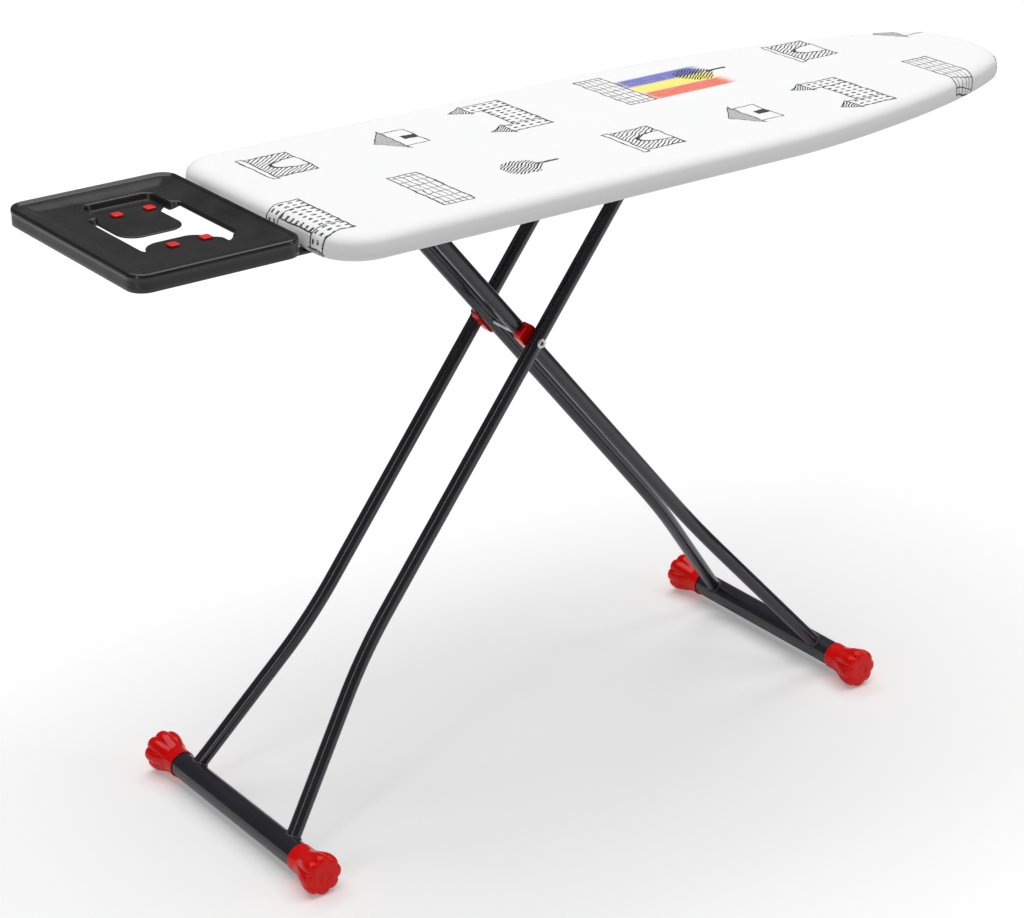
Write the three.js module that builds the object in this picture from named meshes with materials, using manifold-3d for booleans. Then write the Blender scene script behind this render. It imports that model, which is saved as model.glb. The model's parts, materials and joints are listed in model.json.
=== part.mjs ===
// A folding ironing board with a steel iron rest: a padded board on two crossed leg frames.
// Units are millimetres. +X runs from the iron rest to the nose, +Y to the far side, +Z up.
// The floor is z = 0 and y = 0 is the plane of symmetry. "near" is -Y and "far" is +Y.
import * as THREE from "three";
import { mergeVertices } from "three/addons/utils/BufferGeometryUtils.js";
import Module from "manifold-3d";

const wasm = await Module();
wasm.setup();

// ---- Driving dimensions ----------------------------------------------------------------------

// Board
const topHeight = 828; // ironing surface above the floor
const boardWidth = 380;
const tailReach = 516.5; // top hinge of the outer leg back to the square end
const taperReach = 158.5; // top hinge forward to where the sides start to curve in
const noseReach = 651.5; // top hinge forward to the tip of the nose
const tailCornerRadius = 55;
const noseShoulderSetback = 47.5; // the blunt nose begins this far behind the tip
const noseShoulderHalfWidth = 93.5;
const noseShoulderSlope = 0.52;
const taperStartHandle = 91; // handles of the curves that shape the taper and the nose
const taperEndHandle = 120;
const noseStartHandle = 27;
const noseEndHandle = 51.5;
const bandHeight = 30.5; // side band of the cover
const coverThickness = 1.6;
const hemWidth = 20; // the cover's edge, turned under the rim
const underlayThickness = 5;
const deckThickness = 1.2;
const rimThickness = 1.2;
const rimFlange = 15;
const channelWidth = 25; // cross braces and stiffeners
const channelLip = 8;
const frontStiffenerReach = 210; // top hinge to the stiffener
const noseStiffenerReach = 430;
const stiffenerHeight = 16;
const stiffenerEndGap = 12; // end of a stiffener to the rim

// Leg frames
const hingeDrop = 52; // top joints below the ironing surface
const outerLegLength = 940.3; // foot bar axis to top hinge
const innerLegLength = 976.4; // foot bar axis to slider rod
const pivotShare = 0.2577; // both legs cross at this share of their length, from the top
const outerBend = 251; // foot bar axis to the bend, along the leg
const innerBend = 275;
const outerSpread = 115; // half distance of the tubes at the foot bar
const innerSpread = 111;
const bendLength = 60; // the bend is rounded over this length each way
const legTubeDiameter = 19;
const legTubeWall = 1.2;
const innerHalfGap = 25.5; // plane of symmetry to the inner tubes
const pivotSideGap = 6.4; // between an inner and an outer tube
const footBarDiameter = 34;
const footBarWall = 1.5;
const footHalfWidth = 197; // plane of symmetry to the end face of a foot cap
const footCapLength = 57;
const footCapRadius = 27; // crests of the flutes
const footCapValleyRadius = 24.2;
const footCapWall = 1.2;
const footPlugDepth = 12; // solid end of a cap, outside the end of the bar
const footCapFlutes = 8;

// Rods and slide rails
const rodDiameter = 8;
const axleBore = 4.6;
const rodEndMargin = 7; // tube metal past the centre of a top rod
const railGap = 2.2; // inner tube to rail
const bracketGap = 1.6; // outer tube to hinge bracket
const bracketThickness = 2.5;
const bracketHalfLength = 20;
const bracketBelowHinge = 11;
const railThickness = 2;
const railFlange = 18;
const slotHeight = 15;
const slotEndPlay = 2;
const railBelowSlot = 3;
const railAboveTube = 5; // top of the inner tubes to the flange of the rail
const railTailMargin = 3; // end of the slot to the end of the rail
const railNoseMargin = 24;
const foldedAngle = 2.5; // degrees left between the outer leg and the board when folded

// Iron rest
const restGap = 22.5; // square end of the board to the iron rest
const restLength = 219; // along X
const restWidth = 303; // along Y
const restTop = 829; // crest of its rim above the floor, level with the ironing surface
const restSkirt = 22;
const restSheet = 1.5;
const restCorner = 22;
const restBorderDrop = 8.5; // crest down to the flat border
const restLedgeDrop = 17.5; // crest down to the ledges
const restOpeningLength = 121;
const restOpeningWidth = 134;
const restOpeningOffset = 12; // towards the board
const ledgeStart = 33; // middle of the iron rest to the edge of the ledges, away from the board
const ledgeFinish = 50; // and towards it
const ledgeTipRadius = 24;
const pocketCorner = 8;
const farLedgeRoot = 48; // how far the pocket of a ledge reaches outside the opening
const farLedgeLength = 63; // how far the ledge reaches into it
const nearLedgeRoot = 18;
const nearLedgeLength = 45;
const padSpacing = 43;
const padSize = 13;
const padThickness = 2.4;
const armWidth = 20;
const armThickness = 3;
const armHalfSpacing = 105;

// Height lock
const catchThickness = 5;
const catchNotches = 5;
const catchRootLength = 21.7; // turning rod to the first tooth
const catchLift = 24; // turning rod above the slider rod
const catchToothGap = 3; // teeth to slider rod
const leverLength = 75;
const leverThickness = 3;
const leverInset = 44; // edge of the board to the lever
const gripStart = 30; // turning rod to the grip
const gripOverhang = 10; // grip past the end of the lever
const gripRadius = 9;
const gripHalfWidth = 7;
const lugHalfLength = 9;
const lugThickness = 2;
const catchRodFarEnd = 42; // plane of symmetry to the far end of the turning rod
const farLugPlace = 30;

// Clearances
const touch = 0.3; // between pieces that rest on or against each other
const running = 0.3; // between a rod and its hole, on the radius

// ---- Places worked out from the dimensions ----------------------------------------------------

const legTubeRadius = legTubeDiameter / 2;
const footBarRadius = footBarDiameter / 2;
const rodRadius = rodDiameter / 2;
const halfWidth = boardWidth / 2;
const footHeight = footCapRadius;
const hingeHeight = topHeight - hingeDrop;
const legRise = hingeHeight - footHeight;
const outerAngle = Math.acos(legRise / outerLegLength); // from the vertical
const innerAngle = Math.acos(legRise / innerLegLength);
const outerUpper = outerLegLength * pivotShare;
const innerUpper = innerLegLength * pivotShare;
const outerLower = outerLegLength - outerUpper;
const innerLower = innerLegLength - innerUpper;
const innerHalfSpacing = innerHalfGap + legTubeRadius;
const outerHalfSpacing = innerHalfSpacing + legTubeDiameter + pivotSideGap;
const innerTubeFace = innerHalfSpacing + legTubeRadius;
const outerTubeFace = outerHalfSpacing + legTubeRadius;

// X is counted from the crossing pivot while the model is built.
const pivotHeight = hingeHeight - outerUpper * Math.cos(outerAngle);
const hingeX = outerUpper * Math.sin(outerAngle);
const sliderX = -innerUpper * Math.sin(innerAngle);
const outerFootX = -outerLower * Math.sin(outerAngle);
const innerFootX = innerLower * Math.sin(innerAngle);
const folded = THREE.MathUtils.degToRad(foldedAngle);
const sliderFoldedX = hingeX - (outerUpper + innerUpper) * Math.cos(folded);

const tailX = hingeX - tailReach;
const noseX = hingeX + noseReach;
const taperX = hingeX + taperReach;
const restInnerX = tailX - restGap;
const restCentreX = restInnerX - restLength / 2;
const originX = (restCentreX - restLength / 2 + noseX) / 2;

const bandBottom = topHeight - bandHeight;
const underlayTop = topHeight - coverThickness - touch;
const deckTop = underlayTop - underlayThickness - touch;
const deckBottom = deckTop - deckThickness;
const rimTop = deckBottom - touch;
const rimBottom = bandBottom + coverThickness + touch;
const skinInset = coverThickness + touch;

const bracketInnerY = outerTubeFace + bracketGap;
const railInnerY = innerTubeFace + railGap;
const railOuterY = railInnerY + railThickness;
const railTop = hingeHeight + legTubeRadius + railAboveTube;
const railBottom = hingeHeight - slotHeight / 2 - railBelowSlot;
const slotStartX = sliderFoldedX - slotHeight / 2 - slotEndPlay;
const slotEndX = sliderX + slotHeight / 2 + slotEndPlay;
const railStartX = slotStartX - railTailMargin;
const railEndX = slotEndX + railNoseMargin;

// ---- Finishes ---------------------------------------------------------------------------------

function finish(color, roughness, metalness) {
  return new THREE.MeshStandardMaterial({ color, roughness, metalness });
}

const blackPaint = finish(0x26262b, 0.35, 0.2);
const zinc = finish(0xb9bcc0, 0.3, 0.9);
const redPlastic = finish(0xd60b0b, 0.35, 0);
const redSilicone = finish(0xd2201c, 0.6, 0);
const printedCotton = finish(0xf4f4f4, 0.9, 0);
const foam = finish(0xd9d5c8, 0.95, 0);
const greyPlastic = finish(0x34363a, 0.5, 0);

// ---- Helpers ----------------------------------------------------------------------------------

// A path that is sampled exactly at its own points, for extruding along.
class PointPath extends THREE.Curve {
  constructor(points) {
    super();
    this.points = points;
  }
  getPointAt(u, target = new THREE.Vector3()) {
    const place = u * (this.points.length - 1);
    const index = Math.min(Math.floor(place), this.points.length - 2);
    return target.lerpVectors(this.points[index], this.points[index + 1], place - index);
  }
  getPoint(t, target) {
    return this.getPointAt(t, target);
  }
  getTangentAt(u, target = new THREE.Vector3()) {
    const index = Math.round(u * (this.points.length - 1));
    const before = this.points[Math.max(index - 1, 0)];
    const after = this.points[Math.min(index + 1, this.points.length - 1)];
    return target.subVectors(after, before).normalize();
  }
}

function toSolid(geometry) {
  const bare = geometry.clone();
  for (const name of Object.keys(bare.attributes)) {
    if (name !== "position") bare.deleteAttribute(name);
  }
  const merged = mergeVertices(bare, 1e-4);
  const vertProperties = new Float32Array(merged.attributes.position.array);
  const triVerts = new Uint32Array(merged.index.array);
  return new wasm.Manifold(new wasm.Mesh({ numProp: 3, vertProperties, triVerts }));
}

function fromSolid(solid) {
  const mesh = solid.getMesh();
  const geometry = new THREE.BufferGeometry();
  geometry.setAttribute("position", new THREE.BufferAttribute(new Float32Array(mesh.vertProperties), 3));
  geometry.setIndex(new THREE.BufferAttribute(new Uint32Array(mesh.triVerts), 1));
  return geometry;
}

function cut(geometry, ...tools) {
  return fromSolid(tools.reduce((solid, tool) => solid.subtract(toSolid(tool)), toSolid(geometry)));
}

function join(geometry, ...others) {
  return fromSolid(others.reduce((solid, other) => solid.add(toSolid(other)), toSolid(geometry)));
}

// A round bar along Y.
function barY(radius, yFrom, yTo, x = 0, z = 0, sides = 16) {
  const geometry = new THREE.CylinderGeometry(radius, radius, yTo - yFrom, sides);
  return geometry.translate(x, (yFrom + yTo) / 2, z);
}

// A box given by its lowest and highest corners.
function block(x0, x1, y0, y1, z0, z1) {
  const geometry = new THREE.BoxGeometry(x1 - x0, y1 - y0, z1 - z0);
  return geometry.translate((x0 + x1) / 2, (y0 + y1) / 2, (z0 + z1) / 2);
}

// An outline in XZ pushed along Y.
function plateXZ(shape, yFrom, yTo, curveSegments = 8) {
  const options = { depth: yTo - yFrom, bevelEnabled: false, curveSegments };
  const geometry = new THREE.ExtrudeGeometry(shape, options);
  return geometry.rotateX(Math.PI / 2).translate(0, yTo, 0);
}

// An outline in XY pushed along Z.
function plateXY(shape, zFrom, zTo, curveSegments = 8) {
  const options = { depth: zTo - zFrom, bevelEnabled: false, curveSegments };
  return new THREE.ExtrudeGeometry(shape, options).translate(0, 0, zFrom);
}

function polygon(points) {
  return new THREE.Shape(points.map(([a, b]) => new THREE.Vector2(a, b)));
}

// A shape with half-round ends, length along its first axis.
function slotShape(a0, a1, b, radius) {
  const shape = new THREE.Shape();
  shape.moveTo(a0 + radius, b - radius);
  shape.lineTo(a1 - radius, b - radius);
  shape.absarc(a1 - radius, b, radius, -Math.PI / 2, Math.PI / 2, false);
  shape.lineTo(a0 + radius, b + radius);
  shape.absarc(a0 + radius, b, radius, Math.PI / 2, Math.PI * 1.5, false);
  return shape;
}

function roundedRectangle(x0, x1, y0, y1, radius) {
  const shape = new THREE.Shape();
  shape.absarc(x1 - radius, y0 + radius, radius, -Math.PI / 2, 0, false);
  shape.absarc(x1 - radius, y1 - radius, radius, 0, Math.PI / 2, false);
  shape.absarc(x0 + radius, y1 - radius, radius, Math.PI / 2, Math.PI, false);
  shape.absarc(x0 + radius, y0 + radius, radius, Math.PI, Math.PI * 1.5, false);
  return shape;
}

// Rings of equal point counts joined in order into one body. An open stack is capped at both ends;
// a closed one joins its last ring to its first.
function loft(rings, heights, closed = false) {
  const count = rings[0].length;
  const positions = rings.flatMap((ring, i) => ring.flatMap((point) => [point.x, point.y, heights[i]]));
  const index = [];
  const spans = closed ? rings.length : rings.length - 1;
  for (let i = 0; i < spans; i += 1) {
    const low = i * count;
    const high = ((i + 1) % rings.length) * count;
    for (let j = 0; j < count; j += 1) {
      const next = (j + 1) % count;
      index.push(low + j, low + next, high + next, low + j, high + next, high + j);
    }
  }
  if (!closed) {
    const top = (rings.length - 1) * count;
    for (const [a, b, c] of THREE.ShapeUtils.triangulateShape(rings[0], [])) index.push(a, c, b);
    for (const [a, b, c] of THREE.ShapeUtils.triangulateShape(rings.at(-1), [])) {
      index.push(top + a, top + b, top + c);
    }
  }
  const geometry = new THREE.BufferGeometry();
  geometry.setAttribute("position", new THREE.Float32BufferAttribute(positions, 3));
  geometry.setIndex(index);
  return geometry;
}

// ---- Board outline ----------------------------------------------------------------------------

function nearSideOfBoard() {
  const shoulderX = noseX - noseShoulderSetback;
  const side = new THREE.Shape();
  side.moveTo(tailX, 0);
  side.lineTo(tailX, tailCornerRadius - halfWidth);
  const r = tailCornerRadius;
  side.absarc(tailX + r, r - halfWidth, r, Math.PI, Math.PI * 1.5);
  side.lineTo(taperX, -halfWidth);
  side.bezierCurveTo(
    taperX + taperStartHandle, -halfWidth,
    shoulderX - taperEndHandle, -noseShoulderHalfWidth - taperEndHandle * noseShoulderSlope,
    shoulderX, -noseShoulderHalfWidth,
  );
  side.bezierCurveTo(
    shoulderX + noseStartHandle, noseStartHandle * noseShoulderSlope - noseShoulderHalfWidth,
    noseX, -noseEndHandle,
    noseX, 0,
  );
  return side.getPoints(6);
}

function boardOutline() {
  const near = nearSideOfBoard();
  const far = near.slice(1, -1).reverse().map((point) => new THREE.Vector2(point.x, -point.y));
  return [...near, ...far];
}

// Half the width of the board where its sides taper.
function halfWidthAt(x) {
  const near = nearSideOfBoard();
  const i = near.findIndex((point) => point.x > x && point.x > tailX + tailCornerRadius);
  const share = (x - near[i - 1].x) / (near[i].x - near[i - 1].x);
  return -THREE.MathUtils.lerp(near[i - 1].y, near[i].y, share);
}

// Every point moved inwards along the outline's own normal.
function inset(outline, distance) {
  return outline.map((point, i) => {
    const before = outline.at(i - 1);
    const after = outline[(i + 1) % outline.length];
    const along = new THREE.Vector2().subVectors(after, before).normalize();
    return new THREE.Vector2(point.x - along.y * distance, point.y + along.x * distance);
  });
}

const outline = boardOutline();

function loftProfile(profile, closed = false) {
  const rings = profile.map(([distance]) => inset(outline, distance));
  const heights = profile.map(([, z]) => z);
  return loft(rings, heights, closed);
}

// Each point of these profiles is a distance in from the outline and a height.
function makeCover() {
  const hem = skinInset + hemWidth;
  const outer = [[hem, bandBottom], [2, bandBottom], [0, bandBottom + 2], [0, topHeight - 9]];
  outer.push([1.5, topHeight - 4], [5, topHeight - 1], [10, topHeight]);
  const t = coverThickness;
  const inner = [[10, topHeight - t], [6, topHeight - 1 - t], [1.5 + t, topHeight - 4 - t]];
  inner.push([t, deckTop + 0.1], [t, bandBottom + t], [hem, bandBottom + t]);
  const profile = [...outer, ...inner];
  return loftProfile(profile, true);
}

function makeCoverTop() {
  const overlap = inset(outline, 8);
  return loft([overlap, overlap], [topHeight - coverThickness, topHeight]);
}

function makeSlab(distance, zFrom, zTo) {
  const ring = inset(outline, distance);
  return loft([ring, ring], [zFrom, zTo]);
}

// The foam, rounded over at its edge to lie under the rounded edge of the cover.
function makeUnderlay() {
  const profile = [[4, deckTop + touch], [7.5, underlayTop - 1.6], [11, underlayTop]];
  return loftProfile(profile);
}

function makeRim() {
  const a = skinInset;
  const b = skinInset + rimThickness;
  const c = skinInset + rimFlange;
  const profile = [[c, rimBottom], [a, rimBottom], [a, rimTop], [c, rimTop]];
  profile.push([c, rimTop - rimThickness], [b, rimTop - rimThickness]);
  profile.push([b, rimBottom + rimThickness], [c, rimBottom + rimThickness]);
  return loftProfile(profile, true);
}

// A cross channel, open upwards, under the deck.
function makeChannel(x, halfLength, zBottom) {
  const sheet = 1.5;
  const top = deckBottom - touch;
  const outer = channelWidth / 2;
  const inner = outer - sheet;
  const lip = outer + channelLip;
  const section = [[-lip, top], [-lip, top - sheet], [-outer, top - sheet], [-outer, zBottom]];
  section.push([outer, zBottom], [outer, top - sheet], [lip, top - sheet], [lip, top], [inner, top]);
  section.push([inner, zBottom + sheet], [-inner, zBottom + sheet], [-inner, top]);
  return plateXZ(polygon(section.map(([a, z]) => [x + a, z])), -halfLength, halfLength);
}

// ---- Scene graph ------------------------------------------------------------------------------

const group = new THREE.Group();
group.position.x = -originX;
const board = new THREE.Group();
const outerLeg = new THREE.Group();
const innerLeg = new THREE.Group();
outerLeg.position.z = pivotHeight;
outerLeg.rotation.y = outerAngle;
innerLeg.position.z = pivotHeight;
innerLeg.rotation.y = -innerAngle;
group.add(board, outerLeg, innerLeg);

function add(parent, name, geometry, material) {
  const mesh = new THREE.Mesh(geometry, material.clone());
  mesh.name = name;
  parent.add(mesh);
  return mesh;
}

const sides = [["near", -1], ["far", 1]];

// ---- Board ------------------------------------------------------------------------------------

add(board, "cover", join(makeCover(), makeCoverTop()), printedCotton);
add(board, "underlay", makeUnderlay(), foam);
add(board, "deck_sheet", makeSlab(skinInset, deckBottom, deckTop), blackPaint);
add(board, "deck_rim", makeRim(), blackPaint);

const braceHalfLength = railOuterY + railFlange + 4;
const tailBraceX = tailX + skinInset + hemWidth + channelWidth / 2 + channelLip + 2;
const midBraceX = railEndX - 6;
const braceBottom = railTop + touch;
add(board, "tail_brace", makeChannel(tailBraceX, braceHalfLength, braceBottom), blackPaint);
add(board, "middle_brace", makeChannel(midBraceX, braceHalfLength, braceBottom), blackPaint);
const stiffenerBottom = deckBottom - touch - stiffenerHeight;
const stiffeners = [["front_stiffener", frontStiffenerReach], ["nose_stiffener", noseStiffenerReach]];
for (const [name, reach] of stiffeners) {
  const x = hingeX + reach;
  const clear = skinInset + rimFlange + stiffenerEndGap;
  const halfLength = halfWidthAt(x + channelWidth / 2 + channelLip) - clear;
  add(board, name, makeChannel(x, halfLength, stiffenerBottom), blackPaint);
}

// ---- Hinge of the outer leg --------------------------------------------------------------------

function makeHingeBracket() {
  const sheet = bracketThickness;
  const inner = bracketInnerY;
  const top = deckBottom - touch;
  const bottom = hingeHeight - bracketBelowHinge;
  const shape = polygon([
    [-inner - sheet, bottom], [-inner, bottom], [-inner, top - sheet], [inner, top - sheet],
    [inner, bottom], [inner + sheet, bottom], [inner + sheet, top], [-inner - sheet, top],
  ]);
  const options = { depth: 2 * bracketHalfLength, bevelEnabled: false };
  const bent = new THREE.ExtrudeGeometry(shape, options);
  bent.rotateX(Math.PI / 2).rotateZ(Math.PI / 2).translate(hingeX - bracketHalfLength, 0, 0);
  const reach = inner + sheet + 5;
  return cut(bent, barY(rodRadius + running, -reach, reach, hingeX, hingeHeight));
}

const capDepth = 2.6;
const capFloor = 1;

// A push cap on the end of a rod: a shallow cup with a domed end, its mouth towards -Y.
function makePushCap() {
  const bore = rodRadius + running;
  const outer = rodRadius + 3;
  const points = [[0, capFloor], [bore, capFloor], [bore, -capDepth], [outer, -capDepth]];
  points.push([outer, capFloor], [outer - 2, 3], [0, 3.4]);
  return new THREE.LatheGeometry(points.map(([r, h]) => new THREE.Vector2(r, h)), 16);
}

const earOuterY = bracketInnerY + bracketThickness;
const capReach = capDepth + touch;
add(board, "hinge_bracket", makeHingeBracket(), blackPaint);
const hingeRodEnd = earOuterY + capReach + capFloor - touch;
add(board, "hinge_rod", barY(rodRadius, -hingeRodEnd, hingeRodEnd, hingeX, hingeHeight), zinc);
for (const [side, sign] of sides) {
  const cap = add(board, `hinge_cap_${side}`, makePushCap(), zinc);
  cap.position.set(hingeX, sign * (earOuterY + capReach), hingeHeight);
  cap.rotation.x = sign < 0 ? Math.PI : 0;
}

// ---- Slide rails -------------------------------------------------------------------------------

// An upright web with a long slot for the slider rod, and a flange that turns outwards at the top.
function makeRail(sign) {
  const across = (a, b) => [sign * a, sign * b].sort((p, q) => p - q);
  const web = block(railStartX, railEndX, ...across(railInnerY, railOuterY), railBottom, railTop);
  const flangeY = across(railInnerY, railOuterY + railFlange);
  const flange = block(railStartX, railEndX, ...flangeY, railTop - railThickness, railTop);
  const slot = slotShape(slotStartX, slotEndX, hingeHeight, slotHeight / 2);
  return cut(join(web, flange), plateXZ(slot, ...across(railInnerY - 1, railOuterY + 1)));
}

for (const [side, sign] of sides) add(board, `slide_rail_${side}`, makeRail(sign), blackPaint);

// ---- Iron rest ---------------------------------------------------------------------------------

const restOuterX = restCentreX - restLength / 2;
const restBorder = restTop - restBorderDrop;
const restLedge = restTop - restLedgeDrop;
const openingX0 = restCentreX + restOpeningOffset - restOpeningLength / 2;
const openingX1 = openingX0 + restOpeningLength;
const openingY = restOpeningWidth / 2;

// A rounded rectangle as a ring of points, inset from the edge of the iron rest.
function restRing(distance) {
  const radius = Math.max(restCorner - distance, 4);
  const halfRest = restWidth / 2 - distance;
  const shape = roundedRectangle(
    restOuterX + distance, restInnerX - distance, -halfRest, halfRest, radius,
  );
  return shape.getPoints(3).slice(0, -1);
}

// Ledge outline: a wide tongue with round shoulders. Root at b = 0, tip at b = length.
function ledgeShape(x0, x1, y0, sign, rootDepth, length, radius) {
  const shape = new THREE.Shape();
  const place = (b) => y0 + sign * b;
  shape.moveTo(x0 + 6, place(-rootDepth));
  shape.lineTo(x1 - 4, place(-rootDepth));
  shape.lineTo(x1, place(0));
  shape.lineTo(x1, place(length - radius));
  shape.quadraticCurveTo(x1, place(length), x1 - radius, place(length));
  shape.lineTo(x0 + radius, place(length));
  shape.quadraticCurveTo(x0, place(length), x0, place(length - radius));
  shape.lineTo(x0, place(0));
  return shape;
}

const ledges = [
  { side: "far", sign: -1, rootDepth: farLedgeRoot, length: farLedgeLength, padFromRoot: -16 },
  { side: "near", sign: 1, rootDepth: nearLedgeRoot, length: nearLedgeLength, padFromRoot: 23 },
];
const ledgeX0 = restCentreX - ledgeStart;
const ledgeX1 = restCentreX + ledgeFinish;

function makeIronRest() {
  const t = restSheet;
  const outer = [[0, restTop - restSkirt], [0, restTop - 4], [1.2, restTop - 1.2], [3.4, restTop]];
  outer.push([6, restTop - 1], [8, restTop - 4], [36, restBorder]);
  const inner = [[36, restBorder - t], [8 + t / 2, restTop - 4 - t], [5.5, restTop - 1 - t]];
  inner.push([3.4, restTop - t], [t + 1, restTop - 1.2 - t]);
  inner.push([t, restTop - 4 - t], [t, restTop - restSkirt]);
  const profile = [...outer, ...inner];
  const rings = profile.map(([distance]) => restRing(distance));
  const shell = loft(rings, profile.map(([, z]) => z), true);
  const middle = loft([restRing(34), restRing(34)], [restBorder - t, restBorder - 0.02]);
  const low = restLedge - t;
  const openingShape = roundedRectangle(openingX0, openingX1, -openingY, openingY, 9);
  const opening = plateXY(openingShape, low - 5, restTop + 5, 5);
  let rest = cut(join(shell, middle), opening);
  for (const { sign, rootDepth, length } of ledges) {
    const y0 = -sign * openingY;
    const back = [y0 - sign * rootDepth, y0 - sign * 0.5].sort((a, b) => a - b);
    const [x0, x1] = [ledgeX0 + 2, ledgeX1 + 12];
    const pocket = roundedRectangle(x0, x1, back[0], back[1], pocketCorner);
    const around = roundedRectangle(x0 - t, x1 + t, back[0] - t, back[1] + t, pocketCorner + t);
    const wall = cut(plateXY(around, low, restBorder - 0.5, 4), plateXY(pocket, low + t, restTop, 4));
    const beyond = sign > 0 ? block(openingX0, openingX1, y0 + 0.01, 0, low - 1, restTop)
      : block(openingX0, openingX1, 0, y0 - 0.01, low - 1, restTop);
    const hollow = plateXY(pocket, low + t, restTop + 5, 4);
    rest = cut(rest, hollow);
    rest = join(rest, cut(wall, beyond));
    const ledge = ledgeShape(ledgeX0, ledgeX1, y0, sign, rootDepth - 8, length, ledgeTipRadius);
    rest = join(rest, plateXY(ledge, low, restLedge, 5));
  }
  return rest;
}

add(board, "iron_rest", makeIronRest(), blackPaint);
for (const { side, sign, padFromRoot } of ledges) {
  for (const [place, x] of [["outer", restCentreX], ["inner", restCentreX + padSpacing]]) {
    const y = -sign * openingY + sign * padFromRoot;
    const half = padSize / 2;
    const shape = roundedRectangle(x - half, x + half, y - half, y + half, 2.5);
    const z = restLedge + touch;
    add(board, `rest_pad_${side}_${place}`, plateXY(shape, z, z + padThickness, 3), redSilicone);
  }
}

// An arm runs under the iron rest, dips under the rim of the board and rises to the deck.
const armEndX = restOuterX + 12;
const armDeckX = tailBraceX + 20;
const armScrewXs = [armDeckX + 22, armDeckX + 44];
const screwRadius = 2;

function makeArm(y) {
  const t = armThickness;
  const low = restTop - restSkirt - touch;
  const dip = bandBottom - touch - 0.5;
  const high = deckBottom - touch;
  const lower = [[armEndX, low - t], [restInnerX - 2, low - t], [restInnerX + 12, dip - t]];
  lower.push([armDeckX - 12, dip - t], [armDeckX + 8, high - t], [armDeckX + 58, high - t]);
  const upper = [[armDeckX + 58, high], [armDeckX + 5, high], [armDeckX - 15, dip]];
  upper.push([restInnerX + 14, dip], [restInnerX, low], [armEndX, low]);
  const strip = plateXZ(polygon([...lower, ...upper]), y - armWidth / 2, y + armWidth / 2);
  const holes = armScrewXs.map((x) => {
    const hole = new THREE.CylinderGeometry(screwRadius + running, screwRadius + running, 20, 12);
    return hole.rotateX(Math.PI / 2).translate(x, y, high);
  });
  return cut(strip, ...holes);
}

// A pan-head screw, head down, its tip just under the deck.
function makeScrew() {
  const head = 4;
  const points = [[0, -3], [head - 1.2, -3], [head, -1.8], [head, -0.4], [screwRadius, -0.4]];
  points.push([screwRadius, armThickness], [0, armThickness]);
  const geometry = new THREE.LatheGeometry(points.map(([r, h]) => new THREE.Vector2(r, h)), 12);
  return geometry.rotateX(Math.PI / 2);
}

for (const [side, sign] of sides) {
  add(board, `rest_arm_${side}`, makeArm(sign * armHalfSpacing), blackPaint);
  armScrewXs.forEach((x, i) => {
    const screw = add(board, `arm_screw_${side}_${i + 1}`, makeScrew(), zinc);
    screw.position.set(x, sign * armHalfSpacing, deckBottom - touch - armThickness);
  });
}

// ---- Height lock -------------------------------------------------------------------------------

const catchRodX = tailBraceX + channelWidth / 2 + 22;
const catchRodZ = hingeHeight + catchLift;
const catchLow = hingeHeight + rodRadius + catchToothGap;
const leverY = leverInset - halfWidth;
const lugPlaces = [["far", farLugPlace], ["near", -armHalfSpacing - armWidth / 2 - 6]];

// The notches share the length between the turning rod and the slider rod at full height.
function makeCatch() {
  const notch = 5;
  const catchPitch = (sliderX - catchRodX - catchRootLength) / (catchNotches - 0.5);
  const toothHalf = catchPitch / 6;
  const toothTip = catchPitch / 12;
  const tip = sliderX + 12;
  const bottom = [[catchRodX - 9, catchRodZ - 4], [catchRodX + 12, catchLow + notch]];
  for (let i = catchNotches - 1; i >= 0; i -= 1) {
    const tooth = sliderX - i * catchPitch - catchPitch / 2;
    bottom.push([tooth - toothHalf, catchLow + notch], [tooth - toothTip, catchLow]);
    bottom.push([tooth + toothTip, catchLow], [tooth + toothHalf, catchLow + notch]);
  }
  bottom.push([tip - 4, catchLow + notch], [tip - 2, catchLow], [tip, catchLow]);
  const top = [[tip, catchLow + 14], [catchRodX + 14, catchRodZ + 1], [catchRodX + 5, catchRodZ + 8]];
  top.push([catchRodX - 5, catchRodZ + 8], [catchRodX - 9, catchRodZ + 4]);
  const plate = plateXZ(polygon([...bottom, ...top]), -catchThickness / 2, catchThickness / 2);
  const bore = barY(rodRadius + running, -catchThickness, catchThickness, catchRodX, catchRodZ);
  return cut(plate, bore);
}

function makeLever() {
  const z = catchRodZ;
  const outlineXZ = polygon([
    [catchRodX - 8, z - 5], [catchRodX - 5, z - 8], [catchRodX + 8, z - 8], [catchRodX + leverLength, z - 14],
    [catchRodX + leverLength, z - 5], [catchRodX + 10, z + 6], [catchRodX + 4, z + 8], [catchRodX - 8, z + 5],
  ]);
  const plate = plateXZ(outlineXZ, leverY - leverThickness / 2, leverY + leverThickness / 2);
  return cut(plate, barY(rodRadius + running, leverY - 5, leverY + 5, catchRodX, z));
}

function makeGrip() {
  const x0 = catchRodX + gripStart;
  const x1 = catchRodX + leverLength + gripOverhang;
  const z = catchRodZ - 8.5;
  const shape = slotShape(x0, x1, z, gripRadius);
  const body = plateXZ(shape, leverY - gripHalfWidth, leverY + gripHalfWidth, 6);
  const leverEnd = catchRodX + leverLength + touch;
  const fork = leverThickness / 2 + touch;
  const slot = block(x0 - 1, leverEnd, leverY - fork, leverY + fork, z - gripRadius - 1, z + gripRadius + 1);
  return cut(body, slot);
}

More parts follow.
